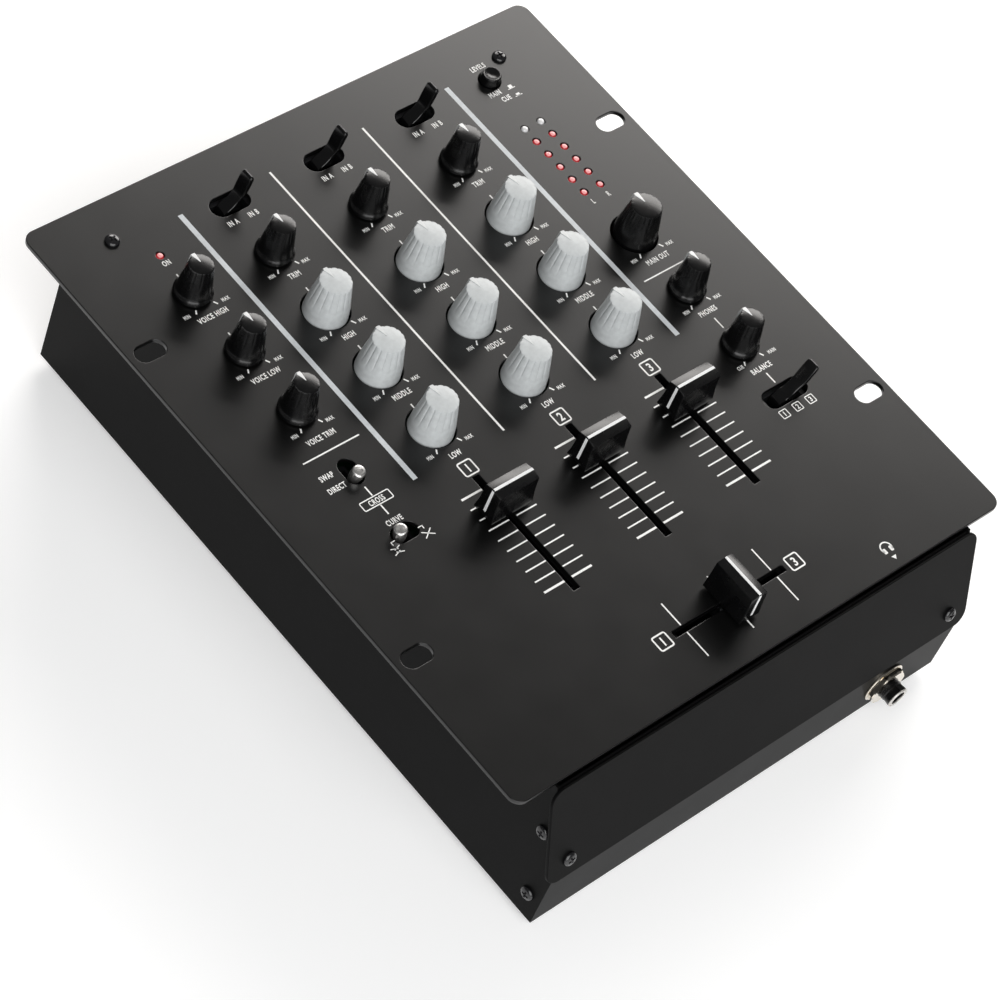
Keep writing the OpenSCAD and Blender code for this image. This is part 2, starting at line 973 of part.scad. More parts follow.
rocker_pivot_y = case_rear - 2;
rocker_pin_d = 2.4;
rocker_gap = 0.3;
rocker_w = 10.4;
rocker_half_h = 8.2;
rocker_lean = 8;

module power_switch_body() {
    bezel_t = 2;
    color("#161617")
        difference() {
            union() {
                box([rocker_housing_w, 16, rocker_housing_h],
                    [rocker_x, case_rear - 8, socket_z - rocker_housing_h / 2]);
                box([rocker_housing_w + 2.4, bezel_t, rocker_housing_h + 2.4],
                    [rocker_x, case_rear + bezel_t / 2, socket_z - rocker_housing_h / 2 - 1.2]);
            }
            box([rocker_w + 2 * rocker_gap, 14, 2 * rocker_half_h + 2],
                [rocker_x, case_rear - 4, socket_z - rocker_half_h - 1]);
            translate([rocker_x, rocker_pivot_y, socket_z])
                rotate([0, 90, 0])
                    cylinder(d = rocker_pin_d + 2 * fit_gap, h = rocker_housing_w + 4, center = true);
        }
}

module power_rocker() {
    color("#0c0c0d")
        translate([rocker_x, rocker_pivot_y, socket_z])
            rotate([rocker_lean, 0, 0])
                union() {
                    translate([-rocker_w / 2, 0, 0])
                        side_extrude(rocker_w)
                            polygon([[-4, -4], [0, -rocker_half_h], [5.2, -rocker_half_h], [4, 0],
                                     [5.2, rocker_half_h], [0, rocker_half_h], [-4, 4]]);
                    rotate([0, 90, 0])
                        cylinder(d = rocker_pin_d, h = rocker_housing_w - 0.4, center = true);
                }
}

// ---------------------------------------------------------------- nodes

// One named node, moved from the faceplate's middle to the console's middle
module part(name) {
    translate([0, origin_y, 0])
            children();
}

part("faceplate") faceplate();
part("front_panel") front_panel();
part("left_side_panel") left_side_panel();
part("right_side_panel") right_side_panel();
part("rear_panel") rear_panel();
part("case_tray") case_tray();
part("rubber_feet") rubber_feet();
part("faceplate_screws") faceplate_screws();
part("front_panel_screws") front_panel_screws();
part("case_screws") case_screws();
part("circuit_boards") circuit_boards();
part("board_standoffs") board_standoffs();
part("pot_bodies") pot_bodies();
part("channel_fader_bodies") channel_fader_bodies();
part("crossfader_body") crossfader_body();
part("lever_switch_bodies") lever_switch_bodies();
part("small_switch_bodies") small_switch_bodies();
part("indicator_leds") indicator_leds();
part("headphone_jack_body") headphone_jack_body();
part("headphone_jack_hardware") headphone_jack_hardware();
part("mic_jack") mic_jack();
part("phono_blocks") phono_blocks();
part("phono_shells") phono_shells();
part("ground_post") ground_post();
part("power_inlet") power_inlet();
part("power_switch_body") power_switch_body();
part("power_rocker") power_rocker();
part("crossfader_cap") crossfader_cap();
part("crossfader_stem") crossfader_stem();
part("meter_button") meter_button();
for (k = large_knobs)
    part(k[0]) large_knob(k[1], k[2]);
for (k = small_knobs)
    part(k[0]) small_knob(k[1], k[2]);
for (c = channels) {
    part(str("ch", c, "_fader_cap")) channel_fader_cap(c);
    part(str("ch", c, "_fader_stem")) channel_fader_stem(c);
}
for (l = levers)
    part(l[0]) lever(l[1], l[2], l[3]);
for (t = toggles)
    part(t[0]) toggle_bat(t[1], t[2], t[3]);
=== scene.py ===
"""Studio scene of a three channel mixing console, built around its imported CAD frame.

Shapes are written in millimetres and become metres when a mesh is made. Places on the
faceplate are counted from its middle, which is PLATE_Y behind the frame's origin.
"""
import math

import bmesh
import bpy
from mathutils import Matrix, Vector


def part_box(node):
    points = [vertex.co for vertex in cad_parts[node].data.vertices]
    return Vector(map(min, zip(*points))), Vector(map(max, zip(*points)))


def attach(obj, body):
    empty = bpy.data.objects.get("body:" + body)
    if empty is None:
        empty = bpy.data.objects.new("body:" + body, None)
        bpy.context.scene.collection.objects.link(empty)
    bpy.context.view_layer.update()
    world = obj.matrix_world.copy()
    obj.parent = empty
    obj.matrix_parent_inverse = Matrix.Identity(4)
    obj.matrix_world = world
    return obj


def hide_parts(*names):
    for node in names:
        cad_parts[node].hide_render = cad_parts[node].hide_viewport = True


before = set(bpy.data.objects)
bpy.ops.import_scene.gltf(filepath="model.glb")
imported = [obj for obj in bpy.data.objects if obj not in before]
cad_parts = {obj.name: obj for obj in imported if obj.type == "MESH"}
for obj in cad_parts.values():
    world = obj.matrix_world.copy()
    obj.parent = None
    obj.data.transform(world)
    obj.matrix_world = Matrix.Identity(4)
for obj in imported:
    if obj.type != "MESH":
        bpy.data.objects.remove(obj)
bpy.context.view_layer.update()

MM = 0.001


# ---------------- frame positions

def box_mm(node):
    low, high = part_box(node)
    return low / MM, high / MM


def centre(node):
    low, high = box_mm(node)
    return (low + high) / 2


def on_plate(node):
    """A node's middle, counted from the faceplate's middle."""
    middle = centre(node)
    return middle.x, middle.y - PLATE_Y


CHANNELS = (1, 2, 3)
TONES = ("treble", "mid", "bass")
TONE_KNOBS = [f"ch{c}_{tone}_knob" for c in CHANNELS for tone in TONES]
MASTER_KNOBS = ["master_knob"]
LARGE_KNOBS = TONE_KNOBS + MASTER_KNOBS
SMALL_KNOBS = [f"ch{c}_gain_knob" for c in CHANNELS] + [
    "mic_treble_knob", "mic_bass_knob", "mic_gain_knob", "cue_gain_knob", "cue_mix_knob"]
INPUT_LEVERS = [f"ch{c}_input_lever" for c in CHANNELS]

PLATE_LOW, PLATE_HIGH = box_mm("faceplate")
PLATE_TOP = PLATE_HIGH.z
PLATE_T = PLATE_HIGH.z - PLATE_LOW.z
PLATE_W = PLATE_HIGH.x - PLATE_LOW.x
PLATE_D = PLATE_HIGH.y - PLATE_LOW.y
PLATE_Y = (PLATE_HIGH.y + PLATE_LOW.y) / 2
CHANNEL_X = [centre(f"ch{c}_treble_knob").x for c in CHANNELS]
SIDE_X = centre("master_knob").x
LOWER_FRONT = box_mm("case_tray")[0].y
CASE_REAR = box_mm("rear_panel")[1].y

PLATE_CORNER_R = 5
RACK_SLOT = (13.3, 7.8)
RACK_PITCH = (234.7, 154.4)
PLATE_SCREWS = ((-98.3, 125.1), (98.3, 125.1))
SCREW_HOLE_D = 3.1
SHEET_EDGE_R = 0.3
LARGE_HOLE_D = 19.4
SMALL_HOLE_D = 7.6
LEVER_Y = 118.2
LEVER_SLOT = (17.8, 9.2)
CUE_LEVER_Y = -60.2
CUE_SLOT = (22, 8.6)
LEVER_PIVOT_Z = PLATE_TOP - 5
LEVER_LENGTH = 20.1
INPUT_LEAN = 18
CUE_LEAN = 36
TOGGLE_SLOT = (12, 7.2)
REVERSE_Y = -2.9
SLOPE_Y = -33.9
TOGGLE_PIVOT_Z = PLATE_TOP - 11.5
BAT_LEAN = 12
BUTTON_POS = (SIDE_X, 117.5)
BUTTON_D = 8.6
BUTTON_HOLE_D = BUTTON_D + 0.8
LED_D = 3
LED_HOLE_D = LED_D + 0.4
POWER_LED = (-86.5, 111)
METER_X = (82.6, 91.3)
METER_Y = [91 - 7.28 * step for step in range(6)]
FADER_Y = -57.1
CROSSFADER_Y = -120.1
FADER_SLOT = (57.8, 3.2)
CROSS_SLOT = (57.8, 2.8)
PANEL_LEAN = math.radians(18.4)
PHONES = (73, 19.2)
SIDE_SCREWS = ((-148.1, 51.6), (-153.7, 17))
REAR_SCREWS = [(x, z) for x in (-102.4, 102.4) for z in (13.5, 62.5)]
REAR_SOCKET_Z = 36
PHONO_X = [block + side for block in (-62, -27, 8, 43) for side in (-7.5, 7.5)]


# ---------------- materials

def set_inputs(node, **values):
    """Sets a node's inputs; an underscore in a keyword stands for a space."""
    for name, value in values.items():
        node.inputs[name.replace("_", " ")].default_value = value


def shader_parts(material):
    """A material's nodes and links, and the inputs of its shader."""
    nodes = material.node_tree.nodes
    return nodes, material.node_tree.links, nodes["Principled BSDF"].inputs


def principled(name, color, roughness, metallic=0.0, specular=0.5, coat=0.0):
    material = bpy.data.materials.new(name)
    material.use_nodes = True
    shader = material.node_tree.nodes["Principled BSDF"]
    set_inputs(shader, Base_Color=(*color, 1), Roughness=roughness, Metallic=metallic,
               Specular_IOR_Level=specular, Coat_Weight=coat, Coat_Roughness=0.12)
    return material


def noise(material, scale, detail, stretch):
    """Noise in the object's own metres, so its grain keeps its real size."""
    nodes, links, _ = shader_parts(material)
    coords = nodes.new("ShaderNodeTexCoord")
    mapping = nodes.new("ShaderNodeMapping")
    set_inputs(mapping, Scale=stretch)
    texture = nodes.new("ShaderNodeTexNoise")
    set_inputs(texture, Scale=scale, Detail=detail)
    links.new(coords.outputs["Object"], mapping.inputs["Vector"])
    links.new(mapping.outputs["Vector"], texture.inputs["Vector"])
    return texture.outputs["Fac"]


def add_bump(material, scale, depth_mm, strength, stretch=(1, 1, 1)):
    nodes, links, shader = shader_parts(material)
    bump = nodes.new("ShaderNodeBump")
    set_inputs(bump, Strength=strength, Distance=depth_mm * MM)
    links.new(noise(material, scale, 3.0, stretch), bump.inputs["Height"])
    links.new(bump.outputs["Normal"], shader["Normal"])


def vary_roughness(material, scale, low, high, stretch=(1, 1, 1)):
    nodes, links, shader = shader_parts(material)
    spread = nodes.new("ShaderNodeMapRange")
    set_inputs(spread, From_Min=0.3, From_Max=0.7, To_Min=low, To_Max=high)
    links.new(noise(material, scale, 2.0, stretch), spread.inputs["Value"])
    links.new(spread.outputs["Result"], shader["Roughness"])


def vary_color(material, scale, dark, light, stretch=(1, 1, 1)):
    nodes, links, shader = shader_parts(material)
    ramp = nodes.new("ShaderNodeValToRGB")
    for element, position, color in zip(ramp.color_ramp.elements, (0.35, 0.65), (dark, light)):
        element.position = position
        element.color = (*color, 1)
    links.new(noise(material, scale, 4.0, stretch), ramp.inputs["Fac"])
    links.new(ramp.outputs["Color"], shader["Base Color"])


def powder_coat(name, shade, roughness, specular):
    """Satin black coating: a fine orange peel with faint clouds in its gloss."""
    material = principled(name, (shade, shade, shade), roughness, specular=specular)
    vary_color(material, 900, (shade * 0.85,) * 3, (shade * 1.15,) * 3)
    vary_roughness(material, 60, roughness - 0.006, roughness + 0.01)
    add_bump(material, 1800, 0.012, 0.25)
    return material


def moulded_plastic(name, color, roughness, coat=0.0, grain_mm=0.01):
    """Plastic or ink with a fine moulded grain."""
    material = principled(name, color, roughness, coat=coat)
    vary_color(material, 500, [c * 0.94 for c in color], [min(1, c * 1.05) for c in color])
    vary_roughness(material, 150, roughness - 0.03, roughness + 0.05)
    add_bump(material, 2500, grain_mm, 0.2)
    return material


def plated_metal(name, color, roughness, stretch=(1, 1, 1)):
    """Nickel or chrome plate with fine polishing marks."""
    material = principled(name, color, roughness, metallic=1.0)
    vary_color(material, 400, [c * 0.92 for c in color], color, stretch=stretch)
    vary_roughness(material, 700, roughness * 0.7, roughness * 1.3, stretch)
    add_bump(material, 3000, 0.004, 0.2, stretch=stretch)
    return material


def lamp(name, base, glow, strength):
    """A surface that glows a little by itself."""
    material = principled(name, base, 0.25)
    shader = material.node_tree.nodes["Principled BSDF"]
    set_inputs(shader, Emission_Color=(*glow, 1), Emission_Strength=strength)
    return material


def solder_mask(name):
    """Green board: copper pours show as lighter blocks under the mask."""
    material = principled(name, (0.004, 0.03, 0.012), 0.35)
    nodes, links, shader = shader_parts(material)
    coords = nodes.new("ShaderNodeTexCoord")
    bricks = nodes.new("ShaderNodeTexBrick")
    set_inputs(bricks, Scale=60, Mortar_Size=0.04, Color1=(0.003, 0.02, 0.008, 1),
               Color2=(0.002, 0.014, 0.006, 1), Mortar=(0.006, 0.035, 0.014, 1))
    links.new(coords.outputs["Object"], bricks.inputs["Vector"])
    links.new(bricks.outputs["Color"], shader["Base Color"])
    add_bump(material, 1200, 0.02, 0.3)
    return material


PLATE_BLACK = powder_coat("plate_powder_coat", 0.002, 0.29, 0.5)
CASE_BLACK = powder_coat("case_powder_coat", 0.003, 0.42, 0.05)
CONTROL_BLACK = moulded_plastic("control_black_plastic", (0.0025, 0.0025, 0.0027), 0.24, grain_mm=0.002)
LEVER_BLACK = moulded_plastic("lever_black_plastic", (0.0025, 0.0025, 0.0027), 0.17, grain_mm=0.001)
CAP_BLACK = moulded_plastic("fader_cap_plastic", (0.002, 0.002, 0.0022), 0.26, grain_mm=0.002)
TONE_GREY = moulded_plastic("tone_knob_plastic", (0.56, 0.585, 0.59), 0.34, grain_mm=0.004)
POINTER_WHITE = moulded_plastic("pointer_white_plastic", (0.85, 0.86, 0.86), 0.4)
POINTER_GREY = moulded_plastic("pointer_grey_plastic", (0.66, 0.68, 0.68), 0.34, grain_mm=0.004)
LABEL_INK = moulded_plastic("label_ink", (0.92, 0.92, 0.9), 0.5, grain_mm=0.004)
STRIPE_INK = moulded_plastic("stripe_ink", (0.6, 0.63, 0.65), 0.5, grain_mm=0.004)
NICKEL = plated_metal("nickel_plate", (0.72, 0.71, 0.69), 0.16)
WARM_NICKEL = plated_metal("warm_nickel_plate", (0.8, 0.74, 0.64), 0.14)
SATIN_NICKEL = plated_metal("satin_nickel_plate", (0.75, 0.73, 0.7), 0.42)
BRUSHED_NICKEL = plated_metal("brushed_nickel_plate", (0.82, 0.81, 0.79), 0.36, (1, 1, 14))
PLAIN_STEEL = plated_metal("plain_steel", (0.42, 0.43, 0.45), 0.34, (1, 12, 1))
BLACKED_STEEL = plated_metal("blackened_steel", (0.02, 0.02, 0.021), 0.5, (1, 12, 1))
SCREW_BLACK = moulded_plastic("blackened_screw", (0.008, 0.008, 0.009), 0.2, coat=0.3)
FOOT_RUBBER = moulded_plastic("foot_rubber", (0.01, 0.01, 0.01), 0.78, grain_mm=0.05)
PART_PLASTIC = moulded_plastic("part_plastic", (0.02, 0.03, 0.06), 0.45)
SOCKET_BLACK = moulded_plastic("socket_black_plastic", (0.012, 0.012, 0.013), 0.35)
BOARD_GREEN = solder_mask("board_green")
LED_CLEAR = moulded_plastic("led_clear_lens", (0.78, 0.78, 0.78), 0.16, coat=0.6, grain_mm=0.002)
LED_RED = lamp("led_red_lens", (0.2, 0.01, 0.012), (0.7, 0.04, 0.05), 0.4)
LED_CORE = lamp("led_lit_core", (0.45, 0.2, 0.2), (1.0, 0.4, 0.4), 0.5)
RING_RED = moulded_plastic("socket_ring_red", (0.45, 0.01, 0.01), 0.35)
RING_WHITE = moulded_plastic("socket_ring_white", (0.75, 0.75, 0.73), 0.35)

CAD_FINISH = {
    "case_tray": CASE_BLACK, "left_side_panel": CASE_BLACK, "right_side_panel": CASE_BLACK,
    "rear_panel": CASE_BLACK, "rubber_feet": FOOT_RUBBER, "circuit_boards": BOARD_GREEN,
    "board_standoffs": PLAIN_STEEL, "pot_bodies": PART_PLASTIC,
    "channel_fader_bodies": BLACKED_STEEL, "crossfader_body": BLACKED_STEEL,
    "lever_switch_bodies": SOCKET_BLACK, "small_switch_bodies": SOCKET_BLACK,
    "mic_jack": SOCKET_BLACK, "phono_blocks": SOCKET_BLACK, "phono_shells": NICKEL,
    "ground_post": NICKEL, "power_inlet": SOCKET_BLACK, "power_switch_body": SOCKET_BLACK,
    "power_rocker": CONTROL_BLACK, "crossfader_stem": PLAIN_STEEL,
    "ch1_fader_stem": PLAIN_STEEL, "ch2_fader_stem": PLAIN_STEEL, "ch3_fader_stem": PLAIN_STEEL,
}


def finish_cad_nodes():
    for node, material in CAD_FINISH.items():
        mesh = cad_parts[node].data
        mesh.materials.clear()
        mesh.materials.append(material)


# ---------------- mesh making

def link(obj):
    bpy.context.scene.collection.objects.link(obj)


def new_piece(name, mesh, materials, node=None, body="root", at=(0, 0, 0), sharp=32):
    """Puts a mesh in the scene, for a CAD node and on a body.

    Edges are sharp above an angle in degrees; with sharp=None the mesh keeps its own shading.
    """
    for material in materials:
        if material.name not in mesh.materials:
            mesh.materials.append(material)
    if sharp:
        mesh.polygons.foreach_set("use_smooth", [True] * len(mesh.polygons))
        mesh.set_sharp_from_angle(angle=math.radians(sharp))
    obj = bpy.data.objects.new(name, mesh)
    obj.location = Vector(at) * MM
    link(obj)
    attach(obj, body)
    if node:
        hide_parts(node)


def to_mesh(name, bm):
    """Closes the bmesh into a mesh in metres."""
    bmesh.ops.recalc_face_normals(bm, faces=bm.faces)
    bm.transform(Matrix.Scale(MM, 4))
    mesh = bpy.data.meshes.new(name)
    bm.to_mesh(mesh)
    bm.free()
    return mesh


def bridge(bm, ring_a, ring_b):
    """Faces between two closed rings; a ring of one vertex is a pole."""
    count = max(len(ring_a), len(ring_b))
    for i in range(count):
        j = (i + 1) % count
        if len(ring_a) == 1:
            corners = (ring_a[0], ring_b[j], ring_b[i])
        elif len(ring_b) == 1:
            corners = (ring_a[i], ring_a[j], ring_b[0])
        else:
            corners = (ring_a[i], ring_a[j], ring_b[j], ring_b[i])
        bm.faces.new(corners)


def add_revolve(bm, profile, steps, carve=None, place=Matrix()):
    """Turns (r, z) pairs about Z. The profile runs from the axis to the axis, or is a loop.

    carve(r, z, angle) says how far a point is drawn in toward the axis.
    """
    rings = []
    for r, z in profile:
        if r == 0:
            rings.append([bm.verts.new(place @ Vector((0, 0, z)))])
            continue
        ring = []
        for i in range(steps):
            angle = math.tau * i / steps
            radius = r - carve(r, z, angle) if carve else r
            point = Vector((radius * math.cos(angle), radius * math.sin(angle), z))
            ring.append(bm.verts.new(place @ point))
        rings.append(ring)
    for ring_a, ring_b in zip(rings, rings[1:]):
        bridge(bm, ring_a, ring_b)
    if len(rings[0]) > 1:
        bridge(bm, rings[-1], rings[0])


def revolved(name, profile, steps, carve=None, place=Matrix()):
    """A mesh of one turned profile."""
    bm = bmesh.new()
    add_revolve(bm, profile, steps, carve, place)
    return to_mesh(name, bm)


def add_skin(bm, sections):
    """Skin through a list of equal rings of points, closed at the first; returns the last ring."""
    rings = [[bm.verts.new(point) for point in section] for section in sections]
    for ring_a, ring_b in zip(rings, rings[1:]):
        bridge(bm, ring_a, ring_b)
    bm.faces.new(rings[0])
    return rings[-1]


def add_loft(bm, sections):
    """The same skin, closed at both ends."""
    last = add_skin(bm, sections)
    bm.faces.new(reversed(last))


def rounded_section(half_x, half_y, corner, steps=5):
    """Points round a rounded rectangle in X and Y."""
    points = []
    for quarter in range(4):
        sign_x = 1 if quarter in (0, 3) else -1
        sign_y = 1 if quarter in (0, 1) else -1
        for i in range(steps + 1):
            angle = math.pi / 2 * (quarter + i / steps)
            points.append((sign_x * (half_x - corner) + corner * math.cos(angle),
                           sign_y * (half_y - corner) + corner * math.sin(angle)))
    return points


def circle_points(x, y, diameter, steps=48):
    return [(x + diameter / 2 * math.cos(math.tau * i / steps),
             y + diameter / 2 * math.sin(math.tau * i / steps)) for i in range(steps)]


def moved(points, x, y, turn=0):
    """Points turned about the origin, then shifted."""
    cos, sin = math.cos(turn), math.sin(turn)
    return [(x + px * cos - py * sin, y + px * sin + py * cos) for px, py in points]


def slot_points(x, y, length, width, turn=0):
    """A slot whose ends fall just short of half circles, so that no two points meet."""
    return moved(rounded_section(length / 2, width / 2, width / 2 - 0.001, 12), x, y, turn)


def rectangle_points(x, y, width, depth):
    return moved(rounded_section(width / 2, depth / 2, 0.2, 2), x, y)


def cut_sheet(name, outline, holes, thickness, edge_r):
    """A flat sheet with holes and rounded edges, centred on z = 0, in metres.

    Only the rounded edges are smooth shaded, so the flat faces stay flat.
    """
    curve = bpy.data.curves.new(name, "CURVE")
    curve.dimensions = "2D"
    curve.fill_mode = "BOTH"
    curve.extrude = thickness / 2 - edge_r
    curve.bevel_depth = edge_r
    curve.bevel_resolution = 3
    curve.offset = -edge_r
    for points in [outline] + [list(reversed(hole)) for hole in holes]:
        spline = curve.splines.new("POLY")
        spline.points.add(len(points) - 1)
        spline.use_cyclic_u = True
        for point, (x, y) in zip(spline.points, points):
            point.co = (x, y, 0, 1)
    holder = bpy.data.objects.new(name, curve)
    mesh = bpy.data.meshes.new_from_object(holder)
    bpy.data.objects.remove(holder)
    bpy.data.curves.remove(curve)
    mesh.polygons.foreach_set("use_smooth", [abs(face.normal.z) < 0.999 for face in mesh.polygons])
    mesh.transform(Matrix.Scale(MM, 4))
    return mesh


# ---------------- case

def build_faceplate():
    outline = rounded_section(PLATE_W / 2, PLATE_D / 2, PLATE_CORNER_R, 8)
    holes = [slot_points(x * RACK_PITCH[0] / 2, y * RACK_PITCH[1] / 2, *RACK_SLOT)
             for x in (-1, 1) for y in (-1, 1)]
    holes += [circle_points(x, y, SCREW_HOLE_D, 24) for x, y in PLATE_SCREWS]
    holes += [circle_points(*on_plate(k), LARGE_HOLE_D, 72) for k in LARGE_KNOBS]
    holes += [circle_points(*on_plate(k), SMALL_HOLE_D) for k in SMALL_KNOBS]
    holes += [slot_points(x, LEVER_Y, *LEVER_SLOT) for x in CHANNEL_X]
    holes.append(slot_points(SIDE_X, CUE_LEVER_Y, *CUE_SLOT))
    holes.append(slot_points(-SIDE_X, REVERSE_Y, *TOGGLE_SLOT, math.pi / 2))
    holes.append(slot_points(-SIDE_X, SLOPE_Y, *TOGGLE_SLOT))
    holes += [rectangle_points(x, FADER_Y, FADER_SLOT[1], FADER_SLOT[0]) for x in CHANNEL_X]
    holes.append(rectangle_points(0, CROSSFADER_Y, *CROSS_SLOT))
    holes.append(circle_points(*BUTTON_POS, BUTTON_HOLE_D))
    holes.append(circle_points(*POWER_LED, LED_HOLE_D, 32))
    holes += [circle_points(x, y, LED_HOLE_D, 32) for x in METER_X for y in METER_Y]
    mesh = cut_sheet("faceplate_sheet", outline, holes, PLATE_T, SHEET_EDGE_R)
    middle = (0, PLATE_Y, PLATE_TOP - PLATE_T / 2)
    new_piece("faceplate_sheet", mesh, [PLATE_BLACK], "faceplate", at=middle, sharp=None)


PANEL_T = 1.4
PANEL_LEN = 45.6
PANEL_W = 223.6
PANEL_CORNER_R = 6
PANEL_SCREWS = ((-101.3, 8.7), (101.3, 8.7))
SLOPE_START_Y = PLATE_Y - 160.333
SLOPE_START_Z = 31.1
PANEL_RISE = 2
# The panel's own frame: X across, Y up the slope from the panel's lower edge, Z outward
FRONT_PANEL = (Matrix.Translation((0, SLOPE_START_Y, SLOPE_START_Z))
               @ Matrix.Rotation(math.pi / 2 - PANEL_LEAN, 4, "X")
               @ Matrix.Translation((0, PANEL_RISE, 0)))


def in_metres(place):
    """The same placement with its shift in metres."""
    metres = place.copy()
    metres.translation *= MM
    return metres


def build_front_panel():
    outline = moved(rounded_section(PANEL_W / 2, PANEL_LEN / 2, PANEL_CORNER_R, 8), 0, PANEL_LEN / 2)
    holes = [circle_points(x, y, SCREW_HOLE_D, 24) for x, y in PANEL_SCREWS]
    mesh = cut_sheet("front_panel_sheet", outline, holes, PANEL_T, SHEET_EDGE_R)
    mesh.transform(in_metres(FRONT_PANEL) @ Matrix.Translation((0, 0, PANEL_T / 2 * MM)))
    new_piece("front_panel_sheet", mesh, [CASE_BLACK], "front_panel", sharp=None)


def cross_cutter(width, depth, top):
    """A tapered Phillips cross, to cut down from z = top."""
    bm = bmesh.new()
    for turn in (0, math.pi / 2):
        sections = []
        for z, half_long, half_short in ((top - depth, width * 0.2, width * 0.08),
                                         (top, width / 2, width * 0.13),
                                         (top + 1, width / 2, width * 0.13)):
            corners = ((-half_long, -half_short), (half_long, -half_short),
                       (half_long, half_short), (-half_long, half_short))
            sections.append([(x, y, z) for x, y in moved(corners, 0, 0, turn)])
        add_loft(bm, sections)
    return bm


def cut_mesh(name, body_bm, cutter_bm):
    """The first bmesh less the second, as a mesh in metres."""
    body = bpy.data.objects.new(name, to_mesh(name, body_bm))
    cutter = bpy.data.objects.new(name + "_cutter", to_mesh(name + "_cutter", cutter_bm))
    for obj in (body, cutter):
        link(obj)
    cut = body.modifiers.new("cut", "BOOLEAN")
    cut.operation = "DIFFERENCE"
    cut.solver = "EXACT"
    cut.use_self = True
    cut.object = cutter
    depsgraph = bpy.context.evaluated_depsgraph_get()
    mesh = bpy.data.meshes.new_from_object(body.evaluated_get(depsgraph))
    for obj in (body, cutter):
        bpy.data.objects.remove(obj)
    mesh.name = name
    return mesh


PAN_HEAD = [(0, -6), (1.2, -5.8), (1.45, -5.4), (1.45, 0), (2.7, 0), (2.95, 0.15), (3.0, 0.5),
            (2.85, 0.95), (2.45, 1.35), (1.8, 1.6), (0.9, 1.7), (0, 1.7)]


def build_screws():
    """Pan head screws; on the top and the front each one's cross is turned differently."""
    pan = bmesh.new()
    add_revolve(pan, PAN_HEAD, 48)
    pan_mesh = cut_mesh("pan_head_screw", pan, cross_cutter(3.4, 1.3, 1.7))
    jobs = []
    for i, (x, y) in enumerate(PLATE_SCREWS):
        jobs.append(("faceplate_screws", f"faceplate_screw_{i + 1}",
                     Matrix.Translation((x, y + PLATE_Y, PLATE_TOP)) @ Matrix.Rotation(0.5 + i, 4, "Z")))
    for i, (x, up) in enumerate(PANEL_SCREWS):
        jobs.append(("front_panel_screws", f"front_panel_screw_{i + 1}",
                     FRONT_PANEL @ Matrix.Translation((x, up, PANEL_T)) @ Matrix.Rotation(0.3 + i, 4, "Z")))
    half_w = box_mm("rear_panel")[1].x
    for side, side_name in ((-1, "left"), (1, "right")):
        for i, (y, z) in enumerate(SIDE_SCREWS):
            jobs.append(("case_screws", f"{side_name}_side_screw_{i + 1}",
                         Matrix.Translation((side * half_w, y + PLATE_Y, z))
                         @ Matrix.Rotation(side * math.pi / 2, 4, "Y")))
    for i, (x, z) in enumerate(REAR_SCREWS):
        jobs.append(("case_screws", f"rear_screw_{i + 1}",
                     Matrix.Translation((x, CASE_REAR, z)) @ Matrix.Rotation(-math.pi / 2, 4, "X")))
    for node, name, place in jobs:
        copy = pan_mesh.copy()
        copy.transform(in_metres(place))
        new_piece(name, copy, [SCREW_BLACK], node)


# ---------------- knobs

def smooth_step(value, start, end):
    t = min(max((value - start) / (end - start), 0), 1)
    return t * t * (3 - 2 * t)


def flutes(count, depth, start, full, inner_r, outer_r):
    """Broad flutes with sharp creases between them, fading out below and on the top face."""
    def carve(r, z, angle):
        if r < inner_r:
            return 0
        crease = 1 - abs(math.sin(count * angle / 2)) ** 0.4
        return depth * crease * smooth_step(z, start, full) * smooth_step(r, inner_r, outer_r)
    return carve


def side_profile(points, steps):
    """Adds even steps between profile corners, so that flutes bend smoothly."""
    profile = []
    for (r0, z0), (r1, z1) in zip(points, points[1:]):
        profile += [(r0 + (r1 - r0) * i / steps, z0 + (z1 - z0) * i / steps) for i in range(steps)]
    return profile + [points[-1]]


def dome_z(r, rim_r, rim_z, rise):
    return rim_z + rise * (1 - (r / rim_r) ** 2)


def domed_top(rim_r, rim_z, rise, rings=6):
    radii = [rim_r * (1 - i / rings) for i in range(1, rings + 1)]
    return [(r, dome_z(r, rim_r, rim_z, rise)) for r in radii]


DOME_RISE = 0.5
RIM_CHAMFER = 0.3
LARGE_BASE_R = 9
LARGE_TOP_R = 6.4
LARGE_RIM_Z = 17.2
LARGE_SIDE = [(LARGE_BASE_R, -0.9), (8.6, 4), (7.3, 12), (LARGE_TOP_R, LARGE_RIM_Z - RIM_CHAMFER)]
SMALL_SKIRT_R = 7.75
SMALL_TOP_R = 4.9
SMALL_RIM_Z = 16.8
SMALL_SKIRT = [(SMALL_SKIRT_R, 0.8), (SMALL_SKIRT_R, 1.7), (7.62, 2.1), (7.3, 2.6), (6.98, 3.1),
               (6.78, 3.8), (6.65, 4.8)]
SMALL_SIDE = [(6.5, 6), (5.75, 11.5), (SMALL_TOP_R, SMALL_RIM_Z - RIM_CHAMFER)]
SHAFT_TOP = 12.5
BORE_R = 3.05
BORE_TOP = SHAFT_TOP + 0.3
CREASE_ANGLE = 38


def knob_top(top_r, rim_z):
    """The rounded rim and the domed top face."""
    rim_r = top_r - RIM_CHAMFER
    return [(top_r - 0.08, rim_z - 0.1), (rim_r, rim_z)] + domed_top(rim_r, rim_z, DOME_RISE)


